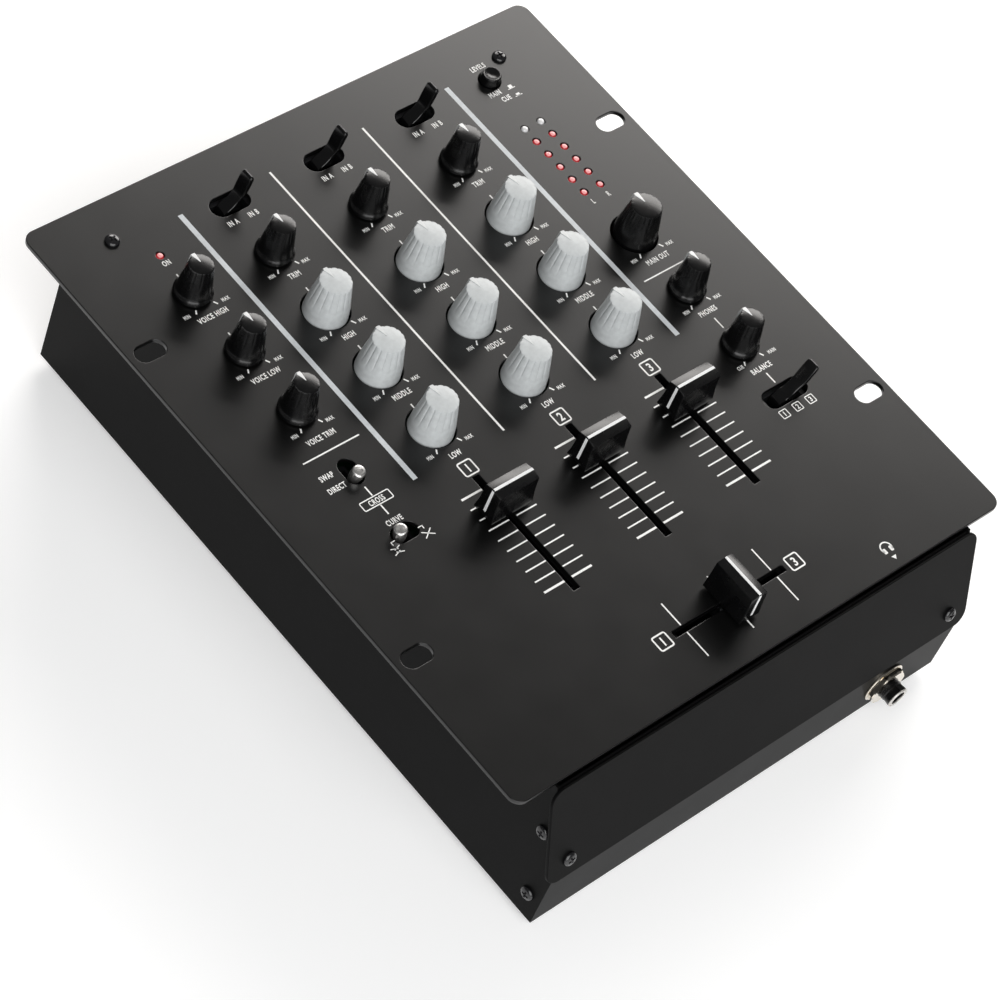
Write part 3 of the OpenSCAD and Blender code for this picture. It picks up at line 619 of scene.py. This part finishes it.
def large_knob_mesh(flute_depth):
    """A hollow tapered knob with a tube inside that grips the shaft."""
    profile = [(0, BORE_TOP), (BORE_R, BORE_TOP), (BORE_R, -1.2), (4.35, -1.2), (4.35, 8), (6.4, 8),
               (7.7, -1.2), (LARGE_BASE_R - 0.3, -1.2)]
    profile += side_profile(LARGE_SIDE, 7) + knob_top(LARGE_TOP_R, LARGE_RIM_Z)
    return revolved("large_knob", profile, 16 * 12, flutes(16, flute_depth, 4.5, 11, 5.0, 6.3))


def small_knob_mesh():
    """A slimmer knob on a skirt."""
    profile = [(0, BORE_TOP), (BORE_R, BORE_TOP), (BORE_R, 0.6), (SMALL_SKIRT_R - 0.2, 0.6)]
    profile += SMALL_SKIRT + side_profile(SMALL_SIDE, 8) + knob_top(SMALL_TOP_R, SMALL_RIM_Z)
    return revolved("small_knob", profile, 12 * 14, flutes(12, 0.2, 7, 12, 3.8, 4.8))


def pointer_mesh(name, rim_r, rim_z, tip_r, wedge_half, side):
    """A wedge on the knob's top that points at +Y, and a thin fin down its side below it.

    A station is a point (r, z) of the pointer's path, the outward direction and the half width.
    """
    stations = []
    for r, half in ((tip_r, 0.1), ((tip_r + rim_r) / 2, wedge_half * 0.55), (rim_r - 0.2, wedge_half)):
        stations.append(((r, dome_z(r, rim_r, rim_z, DOME_RISE)), (0, 1), half))
    stations.append(((rim_r + 0.45, rim_z), (0.5, 0.87), wedge_half * 0.85))
    stations.append(((rim_r + 0.85, rim_z - 0.6), (1, 0.1), 0.62))
    (top_r, top_z), (low_r, low_z) = side
    for t in (0, 0.25, 0.5, 0.75, 1):
        proud = 0.75 - 0.6 * t
        spot = (top_r + (low_r - top_r) * t + proud, top_z + (low_z - top_z) * t)
        stations.append((spot, (1, 0.1), 0.6 - 0.15 * t))
    bm = bmesh.new()
    sections = []
    for (r, z), (normal_r, normal_z), half in stations:
        inner = (r - 1.7 * normal_r, z - 0.7 * normal_z)
        outer = (r + 0.08 * normal_r, z + 0.18 * normal_z)
        sections.append([(-half, *inner), (half, *inner), (half * 0.8, *outer), (-half * 0.8, *outer)])
    add_loft(bm, sections)
    return to_mesh(name, bm)


def shaft_mesh(height):
    """An 18 tooth shaft, from the pot up into the knob."""
    def teeth(r, z, angle):
        return 0.18 * (0.5 + 0.5 * math.cos(18 * angle)) * smooth_step(z, -2, -1.5) if r > 2.5 else 0

    profile = [(0, -10.7), (2.7, -10.7), (3, -10.4), (3, -2), (3, -1.5), (3, height - 0.3),
               (2.7, height), (0, height)]
    return revolved("knob_shaft", profile, 18 * 6, teeth)


def build_knobs():
    """Each kind of knob: its nodes, shell and plastic, pointer and plastic, and slot."""
    large_pointer = pointer_mesh("large_pointer", LARGE_TOP_R, LARGE_RIM_Z, 1.5, 1.25,
                                 ((6.5, 16), (8.4, 5)))
    small_pointer = pointer_mesh("small_pointer", SMALL_TOP_R, SMALL_RIM_Z, 0.7, 1.1,
                                 ((5.05, 15.8), (6.4, 7)))
    kinds = (
        (TONE_KNOBS, large_knob_mesh(0.34), TONE_GREY, large_pointer.copy(), POINTER_GREY, "tone_knob_grey"),
        (MASTER_KNOBS, large_knob_mesh(0.2), CONTROL_BLACK, large_pointer, POINTER_WHITE, "control_black"),
        (SMALL_KNOBS, small_knob_mesh(), CONTROL_BLACK, small_pointer, POINTER_WHITE, "control_black"))
    shaft = shaft_mesh(SHAFT_TOP)
    for nodes, shell, plastic, pointer, pointer_plastic, slot in kinds:
        for node in nodes:
            parts = (("_shell", shell, plastic, slot), ("_pointer", pointer, pointer_plastic, slot),
                     ("_shaft", shaft, PLAIN_STEEL, "plain_steel"))
            at = (centre(node).x, centre(node).y, PLATE_TOP)
            for ending, mesh, material, finish in parts:
                new_piece(node + ending, mesh, [material], node, node + "_body", at, CREASE_ANGLE)


# ---------------- faders

CAP_HALF_LEN = 10.25
CAP_TOP_HALF_LEN = 9.85
CAP_HALF_W = 5.2
CAP_TOP_HALF_W = 4.0
CAP_BASE = 1.3
CAP_ROOF = 15.4
CAP_RIDGE = 16.5
CAP_WAIST = 8.5
CAP_EDGE_R = 0.28
CAP_LINE_HALF = 0.55


def cap_mesh():
    """A wedge topped cap, long in X, that travels along Y; z = 0 is the faceplate's top."""
    bm = bmesh.new()
    levels = ((CAP_HALF_LEN, CAP_HALF_W, CAP_BASE), (CAP_HALF_LEN - 0.05, CAP_HALF_W - 0.25, 3),
              (CAP_HALF_LEN - 0.2, CAP_TOP_HALF_W + 0.25, CAP_WAIST),
              (CAP_TOP_HALF_LEN, CAP_TOP_HALF_W, CAP_ROOF))
    top = add_skin(bm, [[(x * half_x, y * half_y, z) for x, y in ((-1, -1), (1, -1), (1, 1), (-1, 1))]
                        for half_x, half_y, z in levels])
    ridge = [bm.verts.new((x * (CAP_TOP_HALF_LEN - 0.05), 0, CAP_RIDGE - 0.08)) for x in (-1, 1)]
    bm.faces.new((top[0], top[1], ridge[1], ridge[0]))
    bm.faces.new((top[2], top[3], ridge[0], ridge[1]))
    bm.faces.new((top[1], top[2], ridge[1]))
    bm.faces.new((top[3], top[0], ridge[0]))
    bmesh.ops.recalc_face_normals(bm, faces=bm.faces)
    sharp = [edge for edge in bm.edges if edge.is_manifold and edge.calc_face_angle() > math.radians(12)]
    bmesh.ops.bevel(bm, geom=sharp, offset=CAP_EDGE_R, segments=3, affect="EDGES", profile=0.5)
    return to_mesh("fader_cap_shell", bm)


def cap_line_mesh():
    """The white line along the ridge and down both ends."""
    bm = bmesh.new()
    path = [((-CAP_HALF_LEN + 0.02, 4.0), (-1, 0)), ((-CAP_TOP_HALF_LEN - 0.05, CAP_RIDGE - 1.2), (-1, 0)),
            ((-CAP_TOP_HALF_LEN + 0.35, CAP_RIDGE - 0.12), (-0.5, 0.8))]
    path += [((-x, z), (-nx, nz)) for (x, z), (nx, nz) in reversed(path)]
    sections = []
    for (x, z), (normal_x, normal_z) in path:
        inner = (x - 0.5 * normal_x, z - 0.5 * normal_z)
        outer = (x + 0.1 * normal_x, z + 0.1 * normal_z)
        sections.append([(inner[0], -CAP_LINE_HALF, inner[1]), (inner[0], CAP_LINE_HALF, inner[1]),
                         (outer[0], CAP_LINE_HALF, outer[1]), (outer[0], -CAP_LINE_HALF, outer[1])])
    add_loft(bm, sections)
    return to_mesh("fader_cap_line", bm)


def build_fader_caps():
    shell = cap_mesh()
    line = cap_line_mesh()
    quarter = Matrix.Rotation(math.pi / 2, 4, "Z")
    jobs = [(f"ch{c}_fader_cap", f"ch{c}_fader", shell, line) for c in CHANNELS]
    cross_shell = shell.copy()
    cross_line = line.copy()
    for mesh in (cross_shell, cross_line):
        mesh.transform(quarter)
    jobs.append(("crossfader_cap", "crossfader", cross_shell, cross_line))
    for node, body, shell_mesh, line_mesh in jobs:
        at = (centre(node).x, centre(node).y, PLATE_TOP)
        new_piece(node + "_shell", shell_mesh, [CAP_BLACK], node, body, at, 20)
        new_piece(node + "_line", line_mesh, [POINTER_WHITE], node, body, at, 20)


# ---------------- levers, toggles and button

def lever_mesh():
    """A flat paddle on a concave neck, growing out of a round rocker; its pivot is at the origin."""
    bm = bmesh.new()
    # Height from the pivot, bend away from the straight line, half thickness and half width
    stations = [(1.5, 0, 4.3, 2.9), (3.2, 0, 3.9, 2.9), (4.3, 0, 3.0, 2.85), (5.2, 0, 2.2, 2.75),
                (6.4, -0.05, 1.5, 2.65), (7.8, -0.1, 1.1, 2.6), (9.2, -0.05, 0.9, 2.65),
                (10.4, 0.1, 0.85, 2.75), (11.4, 0.15, 0.95, 2.85), (13, 0.05, 1.05, 2.9),
                (16, -0.25, 1.1, 2.9), (LEVER_LENGTH - 1.3, -0.5, 1.1, 2.85),
                (LEVER_LENGTH - 0.6, -0.55, 0.95, 2.7), (LEVER_LENGTH - 0.2, -0.6, 0.65, 2.4),
                (LEVER_LENGTH, -0.6, 0.3, 2.0)]
    sections = []
    for z, bend, half_x, half_y in stations:
        outline = rounded_section(half_x, half_y, min(0.5, half_x * 0.8), 4)
        sections.append([(x + bend, y, z) for x, y in outline])
    add_loft(bm, sections)
    drum = [(0, -2.9), (4.5, -2.9), (4.9, -2.5), (4.9, 2.5), (4.5, 2.9), (0, 2.9)]
    add_revolve(bm, drum, 56, place=Matrix.Rotation(math.pi / 2, 4, "X"))
    pin = [(0, -4.8), (1.1, -4.8), (1.2, -4.7), (1.2, 4.7), (1.1, 4.8), (0, 4.8)]
    add_revolve(bm, pin, 24, place=Matrix.Rotation(math.pi / 2, 4, "X"))
    return to_mesh("lever_paddle", bm)


def build_levers():
    """The input levers and the cue lever, leaning as they do at rest."""
    places = [(node, x, LEVER_Y, INPUT_LEAN) for node, x in zip(INPUT_LEVERS, CHANNEL_X)]
    places.append(("cue_lever", SIDE_X, CUE_LEVER_Y, CUE_LEAN))
    for node, x, y, lean in places:
        mesh = lever_mesh()
        mesh.transform(Matrix.Rotation(math.radians(lean), 4, "Y"))
        at = (x, y + PLATE_Y, LEVER_PIVOT_Z)
        new_piece(node + "_paddle", mesh, [LEVER_BLACK], node, node + "_body", at, 34)


def bat_mesh():
    """A round bat that widens upward, on a hub at its pivot."""
    bm = bmesh.new()
    top = PLATE_TOP + 5 - TOGGLE_PIVOT_Z
    profile = [(0, -1.6), (1.4, -1.6), (1.5, -1.5), (1.5, 6.5), (1.9, 8.2), (2.35, 10.5), (2.6, 12.6),
               (2.65, top - 0.9), (2.58, top - 0.55), (2.4, top - 0.25), (2.1, top - 0.08),
               (1.6, top), (0, top)]
    add_revolve(bm, profile, 40)
    hub = [(0, -2.5), (2, -2.5), (2, 2.5), (0, 2.5)]
    add_revolve(bm, hub, 32, place=Matrix.Rotation(math.pi / 2, 4, "X"))
    return to_mesh("toggle_bat_shell", bm)


def build_toggles():
    """Each toggle's node, place along Y, and the bearing that it leans toward at rest."""
    for node, y, throw in (("reverse_toggle", REVERSE_Y, -math.pi / 2), ("slope_toggle", SLOPE_Y, math.pi)):
        mesh = bat_mesh()
        mesh.transform(Matrix.Rotation(throw, 4, "Z") @ Matrix.Rotation(math.radians(BAT_LEAN), 4, "Y"))
        at = (-SIDE_X, y + PLATE_Y, TOGGLE_PIVOT_Z)
        new_piece(node + "_bat", mesh, [BRUSHED_NICKEL], node, node + "_body", at, 34)


def build_meter_button():
    """A round button with a dished top."""
    base_r = BUTTON_D / 2
    profile = [(0, -9), (1.5, -9), (1.5, -2.5), (base_r, -2.5), (base_r, 1), (base_r - 0.3, 3.3),
               (base_r - 0.42, 3.75), (base_r - 0.65, 3.95), (base_r - 0.9, 4), (base_r - 1.2, 3.9),
               (base_r - 1.9, 3.5), (base_r - 2.8, 3.15), (1, 2.95), (0, 2.92)]
    at = (BUTTON_POS[0], BUTTON_POS[1] + PLATE_Y, PLATE_TOP)
    new_piece("meter_button_cap", revolved("meter_button_cap", profile, 64), [CONTROL_BLACK],
              "meter_button", "meter_button_body", at, 34)


# ---------------- lamps

def add_lamp(bm, x, y, lit):
    """A 3 mm lens in its hole; its middle is a core with a material of its own."""
    place = Matrix.Translation((x, y + PLATE_Y, 0))
    shoulder = PLATE_TOP - (0.75 if lit else 0.35)
    radius = LED_D / 2
    core_r = 1.08
    core_z = shoulder + 0.85
    lens = [(0, PLATE_TOP - 13), (radius, PLATE_TOP - 13)]
    for degrees in (0, 14, 28, 42):
        angle = math.radians(degrees)
        lens.append((radius * math.cos(angle), shoulder + 0.8 * radius * math.sin(angle)))
    lens.append((core_r, core_z))
    add_revolve(bm, lens, 32, place=place)
    first_core_face = len(bm.faces)
    core = [(0, core_z - 0.4), (core_r, core_z - 0.4), (core_r, core_z), (core_r * 0.7, core_z + 0.12),
            (core_r * 0.35, core_z + 0.2), (0, core_z + 0.22)]
    add_revolve(bm, core, 32, place=place)
    bm.faces.ensure_lookup_table()
    for face in bm.faces[first_core_face:]:
        face.material_index = 1


def build_lamps():
    """The meter's first row is unlit."""
    groups = (("meter_lamps_lit", [(x, y) for x in METER_X for y in METER_Y[1:]], [LED_RED, LED_CORE], True),
              ("meter_lamps_unlit", [(x, METER_Y[0]) for x in METER_X], [LED_CLEAR, LED_CLEAR], False),
              ("power_lamp", [POWER_LED], [LED_RED, LED_CORE], True))
    for name, places, materials, lit in groups:
        bm = bmesh.new()
        for x, y in places:
            add_lamp(bm, x, y, lit)
        mesh = to_mesh(name, bm)
        for material in materials:
            mesh.materials.append(material)
        new_piece(name, mesh, [], "indicator_leds")


# ---------------- sockets

JACK_AXIS = Matrix.Rotation(math.pi / 2, 4, "X")
THREAD_R = 4.8
THREAD_PITCH = 0.75
NUT_FLATS = 15.9


def jack_barrel_mesh():
    """The jack's body behind the case and its threaded barrel in front."""
    profile = [(0, -22), (3.2, -22), (3.2, 8.6), (4.7, 8.6), (THREAD_R, 8.4)]
    for turn in range(4):
        start = 5.6 - turn * THREAD_PITCH
        for down, depth in ((0, 0.3), (0.35, 0), (0.5, 0), (0.85, 0.3)):
            profile.append((THREAD_R - depth, start - THREAD_PITCH * down))
    profile += [(THREAD_R, -1.2), (8, -1.2), (8, -26.2), (0, -26.2)]
    return revolved("headphone_jack_barrel", profile, 56, place=JACK_AXIS)


def jack_mouth_mesh():
    profile = [(3.2, 8.3), (3.2, 8.95), (3.3, 9), (3.8, 9), (3.9, 8.9), (3.95, 8.65), (4.25, 8.65),
               (4.3, 8.9), (4.4, 9), (4.65, 8.95), (4.75, 8.8), (4.75, 8.3)]
    return revolved("headphone_jack_mouth", profile, 56, place=JACK_AXIS)


def jack_nut_mesh():
    """A flat washer with a hexagon nut on it."""
    bm = bmesh.new()
    washer = [(4.9, 0), (9.3, 0), (9.5, 0.2), (9.5, 0.75), (9.2, 1), (4.9, 1)]
    add_revolve(bm, washer, 72, place=JACK_AXIS)
    corner_r = NUT_FLATS / math.sqrt(3)

    def six_flats(r, z, angle):
        within = (angle % (math.pi / 3)) - math.pi / 6
        return max(0, r - NUT_FLATS / 2 / math.cos(within)) if r > 6 else 0

    nut = [(4.9, 1.02), (corner_r - 0.6, 1.02), (corner_r, 1.4), (corner_r, 3.0), (corner_r - 0.9, 3.42),
           (5.3, 3.42), (4.9, 3.2)]
    add_revolve(bm, nut, 72, six_flats, JACK_AXIS)
    return to_mesh("headphone_jack_nut", bm)


def build_headphone_jack():
    at = (PHONES[0], LOWER_FRONT, PHONES[1])
    for mesh, material, slot, node, sharp in (
            (jack_barrel_mesh(), CAP_BLACK, "socket_black", "headphone_jack_body", 32),
            (jack_mouth_mesh(), SATIN_NICKEL, "bright_metal", "headphone_jack_body", 32),
            (jack_nut_mesh(), WARM_NICKEL, "bright_metal", "headphone_jack_hardware", 25)):
        new_piece(mesh.name, mesh, [material], node, at=at, sharp=sharp)


def build_socket_rings():
    """Coloured rings on the collars of the phono sockets: white above, red below."""
    ring = [(4.2, 0.55), (5.25, 0.55), (5.25, 0.95), (5.0, 1.15), (4.45, 1.15), (4.2, 0.95)]
    turn = Matrix.Rotation(-math.pi / 2, 4, "X")
    for name, rise, material in (("phono_rings_upper", 9, RING_WHITE), ("phono_rings_lower", -9, RING_RED)):
        bm = bmesh.new()
        for x in PHONO_X:
            place = Matrix.Translation((x, CASE_REAR, REAR_SOCKET_Z + rise)) @ turn
            add_revolve(bm, ring, 40, place=place)
        new_piece(name, to_mesh(name, bm), [material])


# ---------------- markings

INK_LOW = PLATE_TOP - 0.02
INK_HIGH = PLATE_TOP + 0.03
WORD_WEIGHT = 0.024
WORD_SPACING = 1.15
WORD_H = 2.5
SMALL_WORD_H = 1.7
NUMBER_H = 3.9
SMALL_NUMBER_H = 2.3
NUMBER_SQUEEZE = 0.85
NUMBER_BOX = 6.9
CROSS_NUMBER_X = 34.4
CUE_NUMBER_Y = -67.7
THIN_LINE = 0.6
STRIPE_X = 67.7
STRIPE_ENDS = (-17.8, 122.8)
DIVIDER_X = 23.6
SIDE_LINE_Y = 8.5
SCALE_HALF_TURN = 150


class Markings:
    """Collects flat printed shapes on the faceplate into one thin mesh."""

    def __init__(self):
        self.bm = bmesh.new()
        self.words = {}

    def shape(self, points):
        """A filled convex shape."""
        add_loft(self.bm, [[(x, y, z) for x, y in points] for z in (INK_LOW, INK_HIGH)])

    def bar(self, x0, y0, x1, y1, width):
        along = Vector((x1 - x0, y1 - y0)).normalized()
        side = Vector((-along.y, along.x)) * width / 2
        self.shape([(x0 - side.x, y0 - side.y), (x1 - side.x, y1 - side.y),
                    (x1 + side.x, y1 + side.y), (x0 + side.x, y0 + side.y)])

    def ring(self, outer, inner):
        """The band between two outlines with the same number of points."""
        loops = [[self.bm.verts.new((x, y, z)) for x, y in points]
                 for points, z in ((outer, INK_LOW), (outer, INK_HIGH), (inner, INK_HIGH), (inner, INK_LOW))]
        for loop_a, loop_b in zip(loops, loops[1:] + loops[:1]):
            bridge(self.bm, loop_a, loop_b)

    def frame(self, x, y, width, depth, line, radius):
        outer = rounded_section(width / 2, depth / 2, radius, 4)
        inner = rounded_section(width / 2 - line, depth / 2 - line, max(radius - line, 0.1), 4)
        self.ring(moved(outer, x, y), moved(inner, x, y))

    def arc(self, x, y, radius, width, start, end, steps):
        """A band round (x, y) between two angles in degrees."""
        angles = [math.radians(start + (end - start) * i / steps) for i in range(steps + 1)]
        near, far = radius - width / 2, radius + width / 2
        for a, b in zip(angles, angles[1:]):
            self.shape([(x + r * math.cos(angle), y + r * math.sin(angle))
                        for r, angle in ((near, a), (far, a), (far, b), (near, b))])

    def tick(self, x, y, bearing, inner, outer, width):
        """A line that points at (x, y), at a bearing clockwise from +Y."""
        across, along = math.sin(math.radians(bearing)), math.cos(math.radians(bearing))
        self.bar(x + inner * across, y + inner * along, x + outer * across, y + outer * along, width)

    def word(self, text, x, y, height, squeeze=0.65):
        """Generic lettering, centred on (x, y)."""
        if text not in self.words:
            curve = bpy.data.curves.new(text, "FONT")
            curve.body = text
            curve.offset = WORD_WEIGHT
            curve.space_character = WORD_SPACING
            curve.resolution_u = 3
            curve.extrude = 0.5
            holder = bpy.data.objects.new(text, curve)
            self.words[text] = bpy.data.meshes.new_from_object(holder)
            bpy.data.objects.remove(holder)
            bpy.data.curves.remove(curve)
        mesh = self.words[text]
        xs = [v.co.x for v in mesh.vertices]
        ys = [v.co.y for v in mesh.vertices]
        scale = height / (max(ys) - min(ys))
        place = (Matrix.Translation((x, y, (INK_LOW + INK_HIGH) / 2))
                 @ Matrix.Diagonal((scale * squeeze, scale, INK_HIGH - INK_LOW, 1))
                 @ Matrix.Translation((-(max(xs) + min(xs)) / 2, -(max(ys) + min(ys)) / 2, 0)))
        copy = mesh.copy()
        copy.transform(place)
        self.bm.from_mesh(copy)
        bpy.data.meshes.remove(copy)

    def build(self, name, material):
        for mesh in self.words.values():
            bpy.data.meshes.remove(mesh)
        self.bm.transform(Matrix.Scale(MM, 4))
        mesh = bpy.data.meshes.new(name)
        self.bm.to_mesh(mesh)
        self.bm.free()
        new_piece(name, mesh, [material], at=(0, PLATE_Y, 0))


def print_stripes():
    stripes = Markings()
    for x in (-STRIPE_X, STRIPE_X):
        stripes.bar(x, STRIPE_ENDS[0], x, STRIPE_ENDS[1], 2.2)
    stripes.build("plate_stripes", STRIPE_INK)


def print_lines(marks):
    for x in (-DIVIDER_X, DIVIDER_X):
        marks.bar(x, STRIPE_ENDS[0], x, STRIPE_ENDS[1], 0.9)
    marks.bar(-100.2, SIDE_LINE_Y, -73.3, SIDE_LINE_Y, THIN_LINE)
    marks.bar(73.6, SIDE_LINE_Y, 100, SIDE_LINE_Y, THIN_LINE)
    for x, y0, y1 in ((-SIDE_X, -10.8, -15.3), (-SIDE_X, -20, -24.7),
                      (SIDE_X, -18.9, -24.4), (SIDE_X, -49.4, -54.7)):
        marks.bar(x, y0, x, y1, THIN_LINE)


def print_knob_marks(marks):
    """Ticks at the ends of each scale, and at the middle where the knob has a centre."""
    centred = TONE_KNOBS + ["mic_treble_knob", "mic_bass_knob"]
    for nodes, end_reach, middle_reach in ((LARGE_KNOBS, (10.3, 12.4), (10.0, 12.0)),
                                           (SMALL_KNOBS, (8.4, 10.3), (7.9, 9.8))):
        for node in nodes:
            x, y = on_plate(node)
            for bearing in (-SCALE_HALF_TURN, SCALE_HALF_TURN):
                marks.tick(x, y, bearing, *end_reach, THIN_LINE)
            if node in centred:
                marks.tick(x, y, 0, *middle_reach, THIN_LINE)


def print_scale_ends(marks, x, y, left, right):
    marks.word("MIN", x + left, y, SMALL_WORD_H)
    marks.word("MAX", x + right, y, SMALL_WORD_H)


def print_words(marks):
    for x in CHANNEL_X:
        marks.word("IN A", x - 4.8, 110, WORD_H)
        marks.word("IN B", x + 5, 110, WORD_H)
        marks.word("TRIM", x, 78.8, WORD_H)
        print_scale_ends(marks, x, 82.3, -8.3, 8.3)
        for text, y in (("HIGH", 46.1), ("MIDDLE", 14.7), ("LOW", -16.6)):
            marks.word(text, x, y, WORD_H)
            print_scale_ends(marks, x, y + 3.4, -9.6, 9.6)
    left, right = -SIDE_X, SIDE_X
    for text, x, y in (("ON", left, 107), ("VOICE HIGH", left, 78.8), ("VOICE LOW", left, 47),
                       ("VOICE TRIM", left, 14.7), ("SWAP", left - 9.6, -0.2), ("DIRECT", left - 9.3, -6.1),
                       ("CROSS", left, -17.75), ("CURVE", left, -27.9), ("LEVELS", right, 125),
                       ("MAIN", right - 2.8, 111), ("CUE", right, 107), ("L", 82.8, 49.3), ("R", 91, 49.3),
                       ("MAIN OUT", right, 14.7), ("PHONES", right, -15.1), ("BALANCE", right, -46.6)):
        marks.word(text, x, y, WORD_H)
    print_scale_ends(marks, left, 82.8, -9.2, 9.2)
    print_scale_ends(marks, left, 51, -9.2, 9.2)
    print_scale_ends(marks, left, 19.7, -8.4, 8.4)
    print_scale_ends(marks, right, 18.2, -9.6, 9.6)
    print_scale_ends(marks, right, -11.4, -8.2, 8.6)
    marks.word("CUE", right - 7.6, -42.4, SMALL_WORD_H)
    marks.word("MAIN", right + 9.6, -42.4, SMALL_WORD_H)


def print_number_boxes(marks):
    places = [("1", -CROSS_NUMBER_X, CROSSFADER_Y), ("3", CROSS_NUMBER_X, CROSSFADER_Y)]
    places += [(number, x, -23.9) for number, x in zip("123", CHANNEL_X)]
    for number, x, y in places:
        marks.frame(x, y, NUMBER_BOX, NUMBER_BOX, 0.65, 1.1)
        marks.word(number, x, y, NUMBER_H, NUMBER_SQUEEZE)
    for number, x in zip("123", (79.4, SIDE_X, 93.8)):
        marks.frame(x, CUE_NUMBER_Y, 4, 4, 0.4, 0.5)
        marks.word(number, x, CUE_NUMBER_Y, SMALL_NUMBER_H, NUMBER_SQUEEZE)
    marks.frame(-SIDE_X, -17.7, 14.1, 4.3, 0.45, 0.8)


def print_fader_scales(marks):
    for x in CHANNEL_X:
        for step in range(10):
            y = -34.0 - 5.22 * step
            width = 0.9 if step in (0, 9) else THIN_LINE
            for side in (-1, 1):
                marks.bar(x + side * 1.9, y, x + side * 11.9, y, width)
    for x in (-DIVIDER_X, 0, DIVIDER_X):
        marks.bar(x, -107.4, x, -118.3, THIN_LINE)
        marks.bar(x, -121.8, x, -133.7, THIN_LINE)


def print_icons(marks):
    # Fade curves: a sharp pair and a smooth pair
    for x, bow in ((-94.1, 0.9), (-79.2, 0)):
        for side in (-1, 1):
            for rise in (-1, 1):
                marks.bar(x + side * 2.2, -38.7 + rise * 1.5, x - side * bow, -38.7 + rise * bow / 2, 0.4)
    # A corner over each pair
    for x, inward in ((-94.1, 1.9), (-79.2, -1.9)):
        marks.bar(x, -34.9, x + inward, -34.9, 0.4)
        marks.bar(x, -34.7, x, -36.3, 0.4)
    # Button up and button down
    for x, y, drop in ((92.1, 111, 0), (92.4, 106.7, 0.5)):
        marks.bar(x - 1.8, y - 0.9, x + 1.8, y - 0.9, 0.35)
        marks.shape(moved(rounded_section(0.9, 0.75, 0.2, 3), x, y + 0.1 - drop))
    # Headphones and the arrow to their socket
    marks.arc(70.7, -134.4, 2.5, 0.6, -35, 215, 24)
    for side in (-1, 1):
        marks.shape(moved(rounded_section(0.75, 1.2, 0.4, 3), 70.7 + side * 1.7, -135.4))
    marks.shape([(69.5, -138.4), (71.9, -138.4), (70.7, -140.2)])


def print_faceplate():
    print_stripes()
    marks = Markings()
    print_lines(marks)
    print_knob_marks(marks)
    print_words(marks)
    print_number_boxes(marks)
    print_fader_scales(marks)
    print_icons(marks)
    marks.build("plate_markings", LABEL_INK)


# ---------------- stage, lights and camera

def build_floor():
    bm = bmesh.new()
    half_width = 4000
    corners = [(x * half_width, y * half_width, 0) for x, y in ((-1, -1), (1, -1), (1, 1), (-1, 1))]
    bm.faces.new([bm.verts.new(corner) for corner in corners])
    floor = bpy.data.objects.new("studio_floor", to_mesh("studio_floor", bm))
    paper = lamp("floor_paper", (0.88, 0.88, 0.88), (1, 1, 1), 0.3)
    add_bump(paper, 300, 0.05, 0.1)
    floor.data.materials.append(paper)
    link(floor)


def add_area_light(name, azimuth, elevation, distance, width, height, power, tint=(1, 1, 1)):
    """A soft rectangle that looks at the console; azimuth is counted from +X to +Y."""
    light = bpy.data.lights.new(name, "AREA")
    light.shape = "RECTANGLE"
    light.size = width
    light.size_y = height
    light.energy = power
    light.color = tint
    holder = bpy.data.objects.new(name, light)
    azimuth, elevation = math.radians(azimuth), math.radians(elevation)
    toward = Vector((math.cos(azimuth) * math.cos(elevation), math.sin(azimuth) * math.cos(elevation),
                     math.sin(elevation)))
    holder.location = toward * distance
    holder.rotation_euler = toward.to_track_quat("Z", "Y").to_euler()
    link(holder)


def build_lights():
    world = bpy.data.worlds.new("studio")
    world.use_nodes = True
    set_inputs(world.node_tree.nodes["Background"], Color=(1, 1, 1, 1), Strength=0.12)
    bpy.context.scene.world = world
    add_area_light("rear_light", 36, 31, 1.7, 1.5, 0.75, 24, (1, 0.97, 0.94))
    add_area_light("front_light", 236, 37, 2.2, 2.4, 2.4, 58)
    bpy.context.scene.view_settings.view_transform = "Standard"


VIEW_ANGLES = (-60.077, 50.747, 23.992)
VIEW_DISTANCE = 1429.54
VIEW_SHIFT = (-7.378, -47.93)
LENS = 137.52


def build_camera():
    """The photograph's viewpoint: bearing, height and roll, distance and shift from the faceplate."""
    azimuth, elevation, roll = (math.radians(angle) for angle in VIEW_ANGLES)
    back = Vector((math.sin(azimuth) * math.cos(elevation), -math.cos(azimuth) * math.cos(elevation),
                   math.sin(elevation)))
    level_right = (-back).cross(Vector((0, 0, 1))).normalized()
    level_up = level_right.cross(-back)
    right = math.cos(roll) * level_right + math.sin(roll) * level_up
    up = math.cos(roll) * level_up - math.sin(roll) * level_right
    data = bpy.data.cameras.new("camera")
    data.lens = LENS
    data.sensor_width = 36
    data.clip_end = 20
    camera = bpy.data.objects.new("camera", data)
    spot = back * VIEW_DISTANCE + right * VIEW_SHIFT[0] + up * VIEW_SHIFT[1]
    spot += Vector((0, PLATE_Y, PLATE_TOP))
    camera.matrix_world = Matrix.Translation(spot * MM) @ Matrix((right, up, back)).transposed().to_4x4()
    link(camera)
    bpy.context.scene.camera = camera


# ---------------- build

build_camera()
build_floor()
build_lights()
finish_cad_nodes()
build_faceplate()
build_front_panel()
build_screws()
build_knobs()
build_fader_caps()
build_levers()
build_toggles()
build_meter_button()
build_lamps()
build_headphone_jack()
build_socket_rings()
print_faceplate()

bpy.context.view_layer.update()
